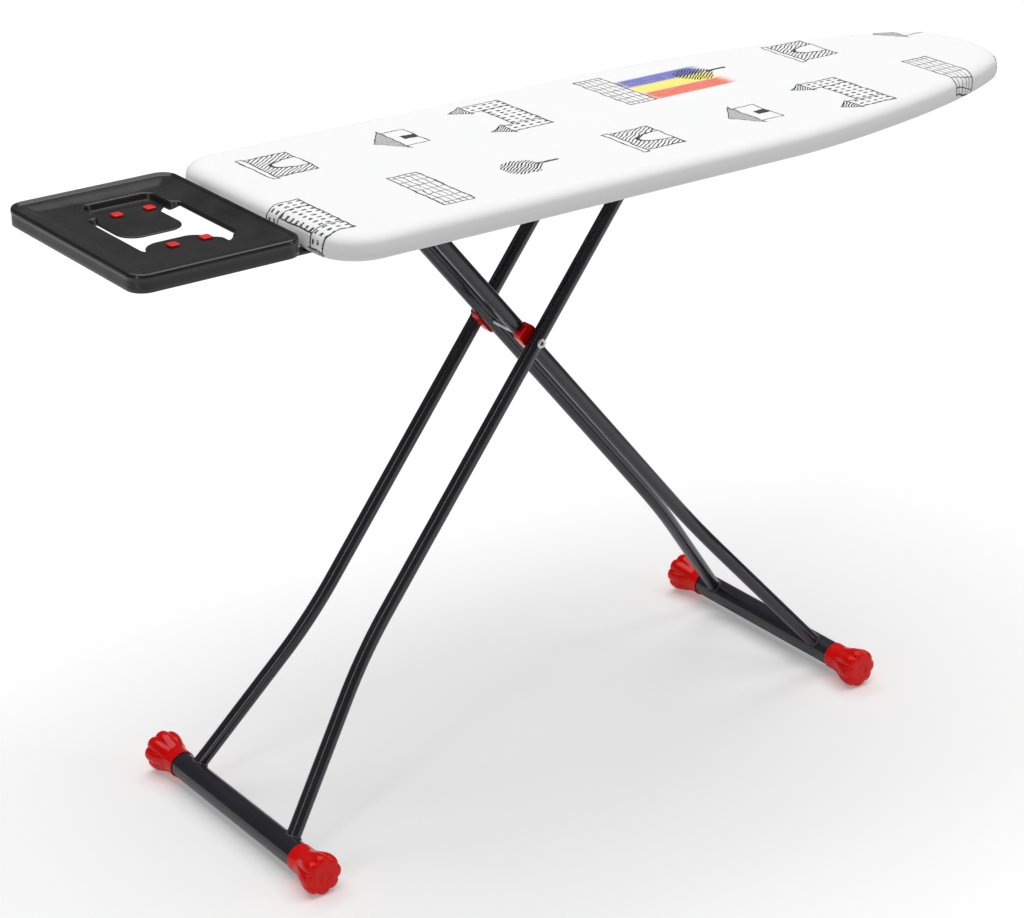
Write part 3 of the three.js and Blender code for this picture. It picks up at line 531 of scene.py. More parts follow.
def draw_brickwork():
    pen, a, b, grit, _, ink = new_drawing("Ink brickwork")
    wall = pen.box(a, b, -70, 70, 0, 50)
    courses = pen.less(pen.math("FRACT", pen.times(b, 1 / 10.0)), 0.16)
    ends = pen.less(pen.math("FRACT", pen.times(a, 1 / 20.0)), 0.09)
    bricks = pen.times(pen.inside(wall), pen.most(courses, ends), pen.more(grit, 0.34))
    pen.feed(ink, pen.most(pen.times(pen.line(wall, 1.3), pen.more(grit, 0.32)), bricks))
    return pen.tree


def draw_cottage():
    pen, a, b, grit, _, ink = new_drawing("Ink cottage")
    wall = pen.box(a, b, -35, 35, 0, 40)
    roof = pen.roof(a, b, 0, 40, 45, 35)
    door = pen.inside(pen.box(a, b, -8, 8, 0, 24))
    tiles = pen.times(pen.inside(roof), pen.hatch(a, b, -0.8, 5.0, 0.5))
    outlines = pen.most(pen.line(wall, 1.3), pen.line(roof, 1.3))
    pen.feed(ink, pen.most(pen.times(outlines, pen.more(grit, 0.32)), door, tiles))
    return pen.tree


def draw_tree():
    pen, a, b, grit, flow, ink = new_drawing("Ink tree")
    ragged = pen.times(pen.math("SUBTRACT", flow, 0.5), 26.0)
    crown = pen.add(pen.oval(a, b, (0, 65), (30, 32)), ragged)
    leaves = pen.times(pen.inside(crown), pen.hatch(a, b, 0.8, 6.0, 0.5))
    trunk = pen.inside(pen.box(a, b, -3, 3, 0, 40))
    pen.feed(ink, pen.most(leaves, pen.times(trunk, pen.more(grit, 0.32))))
    return pen.tree


DRAWINGS = [draw_castle(), draw_arch(), draw_brickwork(), draw_cottage(), draw_tree()]
print("drawings:", len(DRAWINGS))

# %% [markdown]
# ### Laying the drawings out
# The five drawings take turns along the board, on one side of its middle and then on the other.
# Each comes back once in every repeat. So one drawing's nodes can serve all its copies: its place
# switches from stretch to stretch.

# %% Places on the flat cloth
REPEAT = 0.42
REPEATS = 3
FIRST_GROUND = -0.42
SIDE_STEP = 0.09
DRAWING_SIZE = 0.85


def copies_of(order):
    """Stretch start, ground line along X and middle along Y, for each copy of one drawing."""
    copies = []
    for turn in range(REPEATS):
        ground = FIRST_GROUND + REPEAT * (turn + order / len(DRAWINGS))
        side = 1 if (turn + order) % 2 else -1
        copies.append((ground - REPEAT / 2, ground, side * SIDE_STEP))
    return copies


def by_stretch(pen, x, layout, column):
    """The layout's value for the stretch that x is in."""
    value = layout[0][column]
    for before, after in zip(layout, layout[1:]):
        step = after[column] - before[column]
        value = pen.math("MULTIPLY_ADD", pen.more(x, after[0]), step, value)
    return value


def build_print():
    plain, given, out = new_group("Print", [("Flat Place", VECTOR, None)], [("Ink", FLOAT)])
    pen = InkPen(plain.tree)
    flat = given["Flat Place"]
    wobble = pen.node("ShaderNodeTexNoise", noise_dimensions="2D")
    pen.feed(wobble.inputs["Vector"], flat)
    wobble.inputs["Scale"].default_value = 55.0
    wobble.inputs["Detail"].default_value = 3.0
    centred = pen.vector("SUBTRACT", wobble.outputs["Color"], (0.5, 0.5, 0.5))
    shaken = pen.vector("MULTIPLY", centred, (6.0 * MM, 6.0 * MM, 0.0))
    x, y, _ = pen.split(pen.vector("ADD", flat, shaken))
    grit = pen.noise(flat, 340.0, 2.0)
    flow = pen.noise(flat, 60.0, 4.0, 0.6)
    layers = []
    for order, drawing in enumerate(DRAWINGS):
        layout = copies_of(order)
        across = pen.math("SUBTRACT", y, by_stretch(pen, x, layout, 2))
        upward = pen.math("SUBTRACT", by_stretch(pen, x, layout, 1), x)
        sheet = {"a": pen.times(across, 1000.0 / DRAWING_SIZE), "b": pen.times(upward, 1000.0 / DRAWING_SIZE)}
        layers.append(pen.use(drawing, Grit=grit, Flow=flow, **sheet)["Ink"])
    pen.feed(out["Ink"], pen.most(*layers))
    return pen.tree


PRINT = build_print()

# %% [markdown]
# The paint swipes are three straight strokes of a wide dry brush. A brush leaves streaks along its
# way and a ragged start and end, so the noise is stretched along the stroke.

# %% Paint swipe
STROKE_START, STROKE_END = 0.17, 0.30
STROKE_WIDTH = 0.03
STROKE_EDGE = 0.003
# The near side of each stroke, and its paint.
PAINTS = [
    (0.06, rgb(0.95, 0.86, 0.14)), (0.03, rgb(0.86, 0.14, 0.07)), (0.09, rgb(0.13, 0.14, 0.52)),
]


def build_swipe():
    pen, given, out = new_group(
        "Paint swipe",
        [("Flat Place", VECTOR, None), ("Base", COLOUR, None)],
        [("Color", COLOUR)],
    )
    along, across, _ = pen.split(given["Flat Place"])
    stroke = pen.node("ShaderNodeCombineXYZ")
    pen.feed(stroke.inputs[0], along)
    pen.feed(stroke.inputs[1], across)
    bristles = pen.noise(stroke.outputs[0], 1.0, 4.0, 0.7, stretch=(40.0, 520.0, 1.0))
    colour = given["Base"]
    ragged = pen.math("MULTIPLY_ADD", pen.math("SUBTRACT", bristles, 0.5), 0.05, along)
    start = pen.ramp(ragged, STROKE_START - 0.008, STROKE_START + 0.008)
    length = pen.times(start, pen.ramp(ragged, STROKE_END + 0.01, STROKE_END - 0.01))
    thin = pen.ramp(bristles, 0.25, 0.55, 0.55, 0.95)
    for low, paint in PAINTS:
        high = low + STROKE_WIDTH
        near_side = pen.ramp(across, low - STROKE_EDGE, low + STROKE_EDGE)
        width = pen.times(near_side, pen.ramp(across, high + STROKE_EDGE, high - STROKE_EDGE))
        colour = pen.mix(pen.times(length, width, thin), colour, paint)
    pen.feed(out["Color"], colour)
    return pen.tree


SWIPE = build_swipe()

# %% [markdown]
# ### The cloth itself
# Plain weave puts each thread over one and under the next. Two sine waves across each other give
# that chequer of small hills. Up close the threads also differ a little in tone.

# %% Plain weave
def build_weave():
    pen, given, out = new_group(
        "Plain weave",
        [("Flat Place", VECTOR, None), ("Pitch", FLOAT, 0.0006)],
        [("Height", FLOAT), ("Tone", FLOAT)],
    )
    x, y, _ = pen.split(given["Flat Place"])
    turn = pen.math("DIVIDE", math.pi, given["Pitch"])
    warp = pen.math("SINE", pen.times(x, turn))
    weft = pen.math("SINE", pen.times(y, turn))
    pen.feed(out["Height"], pen.math("MULTIPLY_ADD", pen.times(warp, weft), 0.5, 0.5))
    slubs = pen.noise(given["Flat Place"], 1.0, 2.0, 0.5, stretch=(120.0, 1400.0, 1.0))
    pen.feed(out["Tone"], slubs)
    return pen.tree


WEAVE = build_weave()


def flat_place(pen):
    return pen.node("ShaderNodeAttribute", attribute_name="flat_cloth").outputs["Vector"]


def printed_cotton():
    material, pen, surface = new_finish(
        "printed cotton", Roughness=0.86, Sheen_Weight=0.12, Sheen_Roughness=0.5,
        Specular_IOR_Level=0.25,
    )
    flat = flat_place(pen)
    weave = pen.use(WEAVE, Flat_Place=flat, Pitch=0.6 * MM)
    cloth = pen.mix(weave["Tone"], rgb(0.90, 0.90, 0.895), rgb(0.95, 0.95, 0.95))
    soft = pen.ramp(pen.noise(flat, 9.0, 3.0), 0.35, 0.7)
    cloth = pen.mix(pen.times(soft, 0.5), cloth, rgb(0.91, 0.915, 0.92))
    painted = pen.use(SWIPE, Flat_Place=flat, Base=cloth)["Color"]
    ink = pen.use(PRINT, Flat_Place=flat)["Ink"]
    soaked = pen.times(ink, pen.ramp(weave["Tone"], 0.2, 0.8, 1.0, 0.92))
    pen.feed(surface.inputs["Base Color"], pen.mix(soaked, painted, rgb(0.012, 0.012, 0.013)))
    pen.feed(surface.inputs["Normal"], pen.bump(weave["Height"], 0.35, 0.18 * MM))
    return material


PRINTED_COTTON = printed_cotton()
print("cotton nodes:", len(PRINT.nodes) + sum(len(tree.nodes) for tree in DRAWINGS))

# %% [markdown]
# The underside of the board shows the felt through the holes of the deck. Needled felt is a mat of
# fibres in several greys and creams, without a direction. The stitching is plain white thread.

# %% Felt and thread
def felt_finish():
    material, pen, surface = new_finish("needled felt", Roughness=0.95, Sheen_Weight=0.3)
    spot = pen.object_place()
    fibres = pen.noise(spot, 1500.0, 6.0, 0.8)
    tufts = pen.noise(spot, 120.0, 4.0, 0.6)
    base = pen.mix(pen.ramp(fibres, 0.35, 0.65), rgb(0.46, 0.43, 0.37), rgb(0.74, 0.71, 0.64))
    flecks = pen.ramp(pen.noise(spot, 420.0, 2.0), 0.66, 0.72)
    pen.feed(surface.inputs["Base Color"], pen.mix(pen.times(flecks, 0.6), base, rgb(0.18, 0.20, 0.26)))
    pen.feed(surface.inputs["Normal"], pen.bump(pen.add(fibres, tufts), 0.6, 0.6 * MM))
    return material


def thread_finish():
    material, pen, surface = new_finish("sewing thread", Roughness=0.7, Sheen_Weight=0.4)
    twist = pen.noise(pen.object_place(), 2400.0, 2.0)
    pen.feed(surface.inputs["Base Color"], pen.mix(twist, rgb(0.62, 0.62, 0.61), rgb(0.88, 0.88, 0.87)))
    pen.feed(surface.inputs["Normal"], pen.bump(twist, 0.5, 0.2 * MM))
    return material


FELT = felt_finish()
THREAD = thread_finish()
print("soft finishes:", FELT.name, THREAD.name)

# %% [markdown]
# ## The outline of the board
# The cover, the felt, the deck and the rim all follow one outline: a square end with round corners,
# straight sides, a long taper and a blunt nose. It is written once, as arcs and curves, and each
# piece is a stack of rings set in from it.

# %% Outline
TAIL_CORNER = 0.055
TAPER_REACH = 0.1585
SHOULDER_BACK = 0.0475
SHOULDER_HALF = 0.0935
SHOULDER_SLOPE = 0.52
COLUMNS = 44


def bezier(points, steps):
    """Points on a cubic curve, without its last point."""
    a, b, c, d = (np.array(point) for point in points)
    t = np.arange(steps)[:, None] / steps
    return (1 - t) ** 3 * a + 3 * (1 - t) ** 2 * t * b + 3 * (1 - t) * t**2 * c + t**3 * d


def near_side():
    """From the square end to just before the tip of the nose, along the near side."""
    angles = np.radians(np.arange(180, 270, 5))
    centre = np.array([TAIL_X + TAIL_CORNER, TAIL_CORNER - HALF_WIDTH])
    corner = centre + TAIL_CORNER * np.stack([np.cos(angles), np.sin(angles)], axis=1)
    taper_x = HINGE.x + TAPER_REACH
    straight_x = np.linspace(TAIL_X + TAIL_CORNER, taper_x, 52)[:-1]
    straight = np.stack([straight_x, np.full_like(straight_x, -HALF_WIDTH)], axis=1)
    shoulder_x = NOSE_X - SHOULDER_BACK
    taper_end = (shoulder_x - 0.120, -SHOULDER_HALF - 0.120 * SHOULDER_SLOPE)
    nose_start = (shoulder_x + 0.027, 0.027 * SHOULDER_SLOPE - SHOULDER_HALF)
    shoulder = (shoulder_x, -SHOULDER_HALF)
    taper = bezier([(taper_x, -HALF_WIDTH), (taper_x + 0.091, -HALF_WIDTH), taper_end, shoulder], 48)
    nose = bezier([shoulder, nose_start, (NOSE_X, -0.0515), (NOSE_X, 0.0)], 26)
    return np.concatenate([corner, straight, taper, nose])


NEAR = near_side()
ROWS = len(NEAR)


def board_loop():
    """The closed outline: near side, nose, far side, and across the square end."""
    far = NEAR[::-1] * (1, -1)
    across = np.linspace(-NEAR[0, 1], NEAR[0, 1], COLUMNS + 1)[1:-1]
    tail = np.stack([np.full_like(across, TAIL_X), across], axis=1)
    return np.concatenate([NEAR, [[NOSE_X, 0.0]], far, tail])


LOOP = board_loop()


def outward(loop):
    along = np.roll(loop, -1, axis=0) - np.roll(loop, 1, axis=0)
    along /= np.linalg.norm(along, axis=1)[:, None]
    return np.stack([along[:, 1], -along[:, 0]], axis=1)


LOOP_NORMAL = outward(LOOP)


def inset(distance):
    return LOOP - LOOP_NORMAL * distance


def girth(loop):
    steps = np.linalg.norm(np.roll(loop, -1, axis=0) - loop, axis=1)
    return np.concatenate([[0.0], np.cumsum(steps)])


print("outline points:", len(LOOP), "round the board:", round(girth(LOOP)[-1], 3), "m")

# %% [markdown]
# A slab is rows of points across the board, one row for each point of its side, with rings round
# its edge. A regular grid like this takes gentle swells of height well, because its faces are all
# long quads of about the same size.

# %% Slab with a shaped edge
def slab_points(first_inset, height):
    """The grid that fills the ring at first_inset. Its border follows LOOP's order."""
    ring = inset(first_inset)
    points = [ring[i] for i in range(len(ring))]
    grid = np.zeros((ROWS, COLUMNS + 1), int)
    count = len(ring)
    far_start = ROWS + 1
    tail_start = far_start + ROWS
    for row in range(ROWS):
        near, far = row, far_start + ROWS - 1 - row
        grid[row, 0], grid[row, COLUMNS] = near, far
        for column in range(1, COLUMNS):
            if row == 0:
                grid[row, column] = tail_start + COLUMNS - 1 - column
                continue
            share = column / COLUMNS
            points.append(ring[near] * (1 - share) + ring[far] * share)
            grid[row, column] = count
            count += 1
    faces = []
    for row in range(ROWS - 1):
        for column in range(COLUMNS):
            a, b = grid[row, column], grid[row, column + 1]
            faces.append((a, grid[row + 1, column], grid[row + 1, column + 1], b))
    for column in range(COLUMNS):
        faces.append((grid[-1, column], ROWS, grid[-1, column + 1]))
    flat = np.array(points)
    return np.column_stack([flat, [height(x, y) for x, y in flat]]), faces


def slab(name, profile, height, bottom_height=None):
    """A filled top, rings down the profile of (inset, z), and a filled bottom if one is asked for."""
    points, faces = slab_points(profile[0][0], height)
    points = list(points)
    size = len(LOOP)
    last = 0
    for distance, z in profile[1:]:
        start = len(points)
        points.extend((x, y, z) for x, y in inset(distance))
        faces.extend(loop_faces(last, start, size))
        last = start
    if bottom_height is not None:
        low, low_faces = slab_points(profile[-1][0], bottom_height)
        start = len(points)
        points.extend(low[size:])
        index = {i: last + i if i < size else start + i - size for i in range(len(low))}
        faces.extend(tuple(index[i] for i in reversed(face)) for face in low_faces)
    return mesh_piece(name, points, faces)


# %% [markdown]
# ## The cover
# The cloth is pulled tight over the felt by a cord in its hem, so the top is flat with only the
# faintest swells, the upper edge is soft and round, and the side band is slightly full. Under the
# board the hem is gathered where the outline bends: round the nose and at the corners. The cloth
# carries its own flat coordinates, so the print goes over the edge without stretching.
#
# A cloth simulation could find the same shape, but a sheet that is stretched over a flat deck has
# no folds to find. Swells and gathers made by formula cost nothing and come out the same each time.

# %% Cover
BAND_TOP = TOP_Z - 13.5 * MM
CLOTH = 1.1 * MM
HEM = 21.5 * MM
EDGE_IN = 21.0 * MM


def swell(x, y):
    """Soft unevenness of the padding, less than half a millimetre."""
    waves = math.sin(9.0 * x + 3.0 * y) + math.sin(14.0 * y - 5.0 * x + 1.3) + math.sin(23.0 * x + 0.4)
    return 0.10 * MM * waves


def gather(points):
    """How strongly the hem is gathered: it follows the bend of the outline."""
    normal = outward(points)
    turn = np.linalg.norm(np.roll(normal, -1, axis=0) - np.roll(normal, 1, axis=0), axis=1)
    step = np.linalg.norm(np.roll(points, -1, axis=0) - np.roll(points, 1, axis=0), axis=1)
    bend = np.clip(turn / step / 12.0, 0, 1)
    for _ in range(6):
        bend = (np.roll(bend, 1) + bend + np.roll(bend, -1)) / 3
    return bend


def make_cover():
    quarter = [math.radians(angle) for angle in range(0, 91, 9)]
    edge = [
        (EDGE_IN * (1 - math.sin(a)), BAND_TOP + (TOP_Z - 0.4 * MM - BAND_TOP) * math.cos(a))
        for a in quarter
    ]
    band = [
        (-0.5 * MM, BAND_TOP - 2.5 * MM), (-0.8 * MM, BAND_TOP - 6 * MM), (-0.7 * MM, BAND_Z + 7 * MM),
        (-0.2 * MM, BAND_Z + 4 * MM), (0.6 * MM, BAND_Z + 1.8 * MM), (2.0 * MM, BAND_Z + 0.5 * MM),
        (4.0 * MM, BAND_Z), (7.5 * MM, BAND_Z - 0.2 * MM), (11.5 * MM, BAND_Z),
        (15.5 * MM, BAND_Z + 0.2 * MM),
        (HEM - 3 * MM, BAND_Z), (HEM - 1 * MM, BAND_Z - 0.4 * MM), (HEM, BAND_Z + 0.3 * MM),
    ]
    profile = edge + band
    points, faces = slab_points(profile[0][0], lambda x, y: TOP_Z - 0.4 * MM + swell(x, y))
    points = [Vector(point) for point in points]
    flat = [Vector((point.x, point.y, 0.0)) for point in points]
    size = len(LOOP)
    bend = gather(LOOP)
    length = girth(LOOP)[:-1]
    last, cloth_run = 0, 0.0
    before = profile[0]
    base = inset(profile[0][0])
    for distance, z in profile[1:]:
        cloth_run += math.hypot(distance - before[0], z - before[1])
        under = min(max((distance - 3 * MM) / (HEM - 3 * MM), 0.0), 1.0) if z < BAND_Z + MM else 0.0
        start = len(points)
        for i, (x, y) in enumerate(inset(distance)):
            pucker = math.sin(length[i] * 2 * math.pi / 0.0115 + 1.7 * math.sin(length[i] * 31))
            lift = under * (0.9 * MM * pucker * bend[i] + 0.12 * MM * math.sin(length[i] * 210))
            points.append(Vector((x, y, z - max(lift, -0.4 * MM))))
            spread = base[i] + LOOP_NORMAL[i] * cloth_run
            flat.append(Vector((spread[0], spread[1], 0.0)))
        faces.extend(loop_faces(last, start, size))
        last, before = start, (distance, z)
    piece = mesh_piece("printed_cover", points, faces)
    carried = piece.data.attributes.new("flat_cloth", "FLOAT_VECTOR", "POINT")
    carried.data.foreach_set("vector", np.array(flat).ravel())
    thicken = piece.modifiers.new("cloth thickness", "SOLIDIFY")
    thicken.thickness = CLOTH
    thicken.offset = -1.0
    thicken.use_even_offset = True
    sides = [Vector((point[0], point[1])) for point in base]
    shoelace = sum(p.x * q.y - q.x * p.y for p, q in zip(sides, sides[1:] + sides[:1])) / 2
    area = abs(shoelace) + girth(LOOP)[-1] * cloth_run
    return piece, cloth_run, area


cover, cloth_run, cloth_area = make_cover()
place(cover, "board", "printed_cotton", PRINTED_COTTON, "cover")

# %% [markdown]
# The hem is sewn with one row of stitches. Each stitch is a short bead of thread that dips into the
# cloth at both ends. They are real meshes, so that they catch the light as thread does.

# %% Hem stitching
STITCH_PITCH = 4.2 * MM
STITCH_LENGTH = 3.1 * MM
THREAD_RADIUS = 0.32 * MM


def bead(start, finish, radius, dip, sides=6):
    """A short sagging tube between two points, closed at both ends. Returns points and faces."""
    along = (finish - start).normalized()
    side = along.cross(Vector((0, 0, 1))).normalized()
    up = side.cross(along)
    points, faces = [], []
    stations = ((0.0, 0.35, 1.0), (0.25, 1.0, 0.2), (0.75, 1.0, 0.2), (1.0, 0.35, 1.0))
    for share, width, depth in stations:
        centre = start.lerp(finish, share) + Vector((0, 0, dip * depth))
        for k in range(sides):
            angle = 2 * math.pi * k / sides
            points.append(centre + radius * width * (math.cos(angle) * side + math.sin(angle) * up))
    for ring in range(len(stations) - 1):
        faces += loop_faces(ring * sides, (ring + 1) * sides, sides)
    faces.append(tuple(range(sides)))
    faces.append(tuple(range(len(points) - 1, len(points) - 1 - sides, -1)))
    return points, faces


def make_stitches():
    ring = inset(16.5 * MM)
    length = girth(ring)
    closed = np.vstack([ring, ring[:1]])
    points, faces = [], []
    for i in range(int(length[-1] / STITCH_PITCH)):
        ends = []
        for place_along in (i * STITCH_PITCH, i * STITCH_PITCH + STITCH_LENGTH):
            x = np.interp(place_along, length, closed[:, 0])
            y = np.interp(place_along, length, closed[:, 1])
            ends.append(Vector((x, y, BAND_Z - 0.15 * MM)))
        new_points, new_faces = bead(*ends, THREAD_RADIUS, 0.45 * MM)
        faces += [tuple(len(points) + k for k in face) for face in new_faces]
        points += new_points
    return mesh_piece("hem_stitching", points, faces)


stitching = make_stitches()
place(stitching, "board", "printed_cotton", THREAD)

# %% [markdown]
# ## The felt under the cover
# A felt pad softens the steel deck. It is cut to the outline, and its upper edge has been pressed
# round by the tight cover.

# %% Felt underlay
DECK_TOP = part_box("deck_sheet")[1].z
DECK_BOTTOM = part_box("deck_sheet")[0].z
FELT_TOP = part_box("underlay")[1].z


def make_underlay():
    low = DECK_TOP + 0.3 * MM
    profile = [
        (30 * MM, FELT_TOP), (24 * MM, FELT_TOP - 0.4 * MM), (17 * MM, FELT_TOP - 0.9 * MM),
        (11.5 * MM, FELT_TOP - 1.7 * MM), (8 * MM, FELT_TOP - 2.7 * MM), (6.4 * MM, FELT_TOP - 3.8 * MM),
        (6.0 * MM, low + 0.3 * MM), (6.4 * MM, low),
    ]
    return slab(
        "felt_underlay", profile,
        lambda x, y: FELT_TOP - 0.35 * MM + swell(x, y),
        lambda x, y: low + 0.05 * MM * math.sin(300 * x) * math.sin(260 * y),
    )


underlay = make_underlay()
place(underlay, "board", "felt", FELT, "underlay")

# %% [markdown]
# ## The deck
# The deck is expanded metal: a sheet is slit and pulled open into a net of diamonds, so it is light,
# and steam passes through it. Each diamond is a ring of four flat strands, and neighbours share
# their corners. A plain border strip joins the net to the rim.

# %% Expanded deck
DIAMOND_X = 13.0 * MM
DIAMOND_Y = 6.5 * MM
STRAND = 0.30


def inside_outline(x, y, margin):
    ring = inset(margin)
    if not ring[:, 0].min() < x < ring[:, 0].max():
        return False
    near = ring[:ROWS]
    return abs(y) < -np.interp(x, near[:, 0], near[:, 1])


def make_deck():
    points, faces = [], []
    corners = {}

    def corner(x, y):
        key = (round(x / MM * 100), round(y / MM * 100))
        if key not in corners:
            corners[key] = len(points)
            points.append((x, y, DECK_BOTTOM))
        return corners[key]

    columns = int((NOSE_X - TAIL_X) / DIAMOND_X)
    rows = int(HALF_WIDTH / DIAMOND_Y)
    for i in range(columns + 1):
        for j in range(-rows, rows + 1):
            if (i + j) % 2:
                continue
            x, y = TAIL_X + i * DIAMOND_X, j * DIAMOND_Y
            if not inside_outline(x, y, 20 * MM):
                continue
            outer = [
                corner(x - DIAMOND_X, y), corner(x, y - DIAMOND_Y),
                corner(x + DIAMOND_X, y), corner(x, y + DIAMOND_Y),
            ]
            hole = len(points)
            reach_x, reach_y = DIAMOND_X * (1 - STRAND), DIAMOND_Y * (1 - STRAND)
            points += [
                (x - reach_x, y, DECK_BOTTOM), (x, y - reach_y, DECK_BOTTOM),
                (x + reach_x, y, DECK_BOTTOM), (x, y + reach_y, DECK_BOTTOM),
            ]
            faces += [
                (outer[k], outer[(k + 1) % 4], hole + (k + 1) % 4, hole + k) for k in range(4)
            ]
    border = len(points)
    for distance in (7.0 * MM, 22 * MM):
        points += [(x, y, DECK_BOTTOM - 0.02 * MM) for x, y in inset(distance)]
    faces += loop_faces(border, border + len(LOOP), len(LOOP))
    piece = mesh_piece("expanded_deck", points, faces, smooth=False)
    return piece


deck = make_deck()
thicken = deck.modifiers.new("sheet thickness", "SOLIDIFY")
thicken.thickness = DECK_TOP - DECK_BOTTOM - 0.1 * MM
thicken.offset = 1.0
place(deck, "board", "black_paint", TUBE_PAINT, "deck_sheet")

# %% [markdown]
# The rim is a rolled channel that runs right round the deck and holds the band of the cover out. It
# is one section swept round the outline: an upper flange, a web and a lower flange.

# %% Rim
def make_rim():
    low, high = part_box("deck_rim")
    sheet = 1.2 * MM
    out, back = 1.9 * MM, 16.9 * MM
    section = [
        (back, low.z), (out + 0.8 * MM, low.z), (out, low.z + 0.8 * MM), (out, high.z - 6.0 * MM),
        (out + 0.9 * MM, high.z - 2.6 * MM), (out + 4.5 * MM, high.z), (back, high.z),
        (back, high.z - sheet), (out + 4.8 * MM, high.z - sheet), (out + sheet, high.z - 6.0 * MM),
        (out + sheet, low.z + sheet), (back, low.z + sheet),
    ]
    size = len(LOOP)
    points, faces = [], []
    for distance, z in section:
        points += [(x, y, z) for x, y in inset(distance)]
    for k in range(len(section)):
        faces += loop_faces(k * size, (k + 1) % len(section) * size, size)
    return sharpen(mesh_piece("rolled_rim", points, faces))


place(make_rim(), "board", "black_paint", TUBE_PAINT, "deck_rim")

# %% [markdown]
# ## The iron rest
# One steel blank is pressed into a tray: a rolled bead round the edge over a straight skirt, a
# border that falls gently towards an opening, and two tongues that drop lower and reach into the
# opening to carry the iron. Every ring of the tray's mesh is a line of equal distance from the
# outer edge or from the opening, and the press depth is a function of those distances. The
# distances come from small formulas for rounded boxes, joined with a soft minimum, which leaves the
# round inner corners that a press tool has.

# %% Distances on the tray
REST_LOW, REST_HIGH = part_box("iron_rest")
REST_MID = (REST_LOW + REST_HIGH) / 2
REST_HALF = (REST_HIGH - REST_LOW) / 2
OPEN_X0, OPEN_X1 = -48.5 * MM, 72.5 * MM
OPEN_Y = 67 * MM
TONGUE_X0, TONGUE_X1 = -33 * MM, 50 * MM
FAR_ROOT, FAR_TIP = 115 * MM, 4 * MM
NEAR_ROOT, NEAR_TIP = -85 * MM, -22 * MM
TONGUE_DROP = 17.5 * MM
STEEL = 1.5 * MM


def rounded_box(x, y, x0, x1, y0, y1, radius):
    """Distance to a rounded box, below zero inside."""
    across = abs(x - (x0 + x1) / 2) - (x1 - x0) / 2 + radius
    up = abs(y - (y0 + y1) / 2) - (y1 - y0) / 2 + radius
    outside = math.hypot(max(across, 0), max(up, 0))
    return outside + min(max(across, up), 0) - radius


def soft_minimum(a, b, width):
    share = min(max(0.5 + 0.5 * (b - a) / width, 0), 1)
    return b * (1 - share) + a * share - width * share * (1 - share)


def from_edge(x, y):
    half = REST_HALF
    return -rounded_box(x, y, -half.x, half.x, -half.y, half.y, 22 * MM)


def from_opening(x, y):
    """Distance to the pressed recess: the opening and the roots of both tongues."""
    opening = rounded_box(x, y, OPEN_X0, OPEN_X1, -OPEN_Y, OPEN_Y, 9 * MM)
    far = rounded_box(x, y, TONGUE_X0 + 2 * MM, TONGUE_X1 + 12 * MM, 0, FAR_ROOT, 14 * MM)
    near = rounded_box(x, y, TONGUE_X0 + 2 * MM, TONGUE_X1 + 12 * MM, NEAR_ROOT, 0, 12 * MM)
    return soft_minimum(soft_minimum(opening, far, 9 * MM), near, 9 * MM)


def along_ray(angle, distance, wanted, reach):
    """How far out along a ray a distance function reaches a wanted value."""
    low, high = 0.0, reach
    sign = 1 if distance(math.cos(angle) * reach, math.sin(angle) * reach) > wanted else -1
    for _ in range(28):
        mid = (low + high) / 2
        value = distance(math.cos(angle) * mid, math.sin(angle) * mid) - wanted
        low, high = (low, mid) if value * sign > 0 else (mid, high)
    return (low + high) / 2


SPOKES = 360


def tray_ring(distance, wanted, reach=0.21):
    ring = []
    for k in range(SPOKES):
        angle = 2 * math.pi * (k + 0.5) / SPOKES
        out = along_ray(angle, distance, wanted, reach)
        ring.append((math.cos(angle) * out, math.sin(angle) * out))
    return np.array(ring)


# %% [markdown]
# The bead is a small rolled hill just inside the edge. Inside it the sheet dips and then slopes
# down to the recess. Where a tongue starts, the wall of the recess goes down to the tongue. Along
# the rest of the opening the edge is only turned down a few millimetres, so that no raw edge shows.

# %% Pressed tray
def root_share(y):
    """One beside a tongue's root, zero along the open edge, with a soft change between."""
    def rise(value, start, finish):
        share = min(max((value - start) / (finish - start), 0), 1)
        return share * share * (3 - 2 * share)
    return max(rise(y, OPEN_Y - 6 * MM, OPEN_Y + 4 * MM), rise(-y, OPEN_Y - 6 * MM, OPEN_Y + 4 * MM))


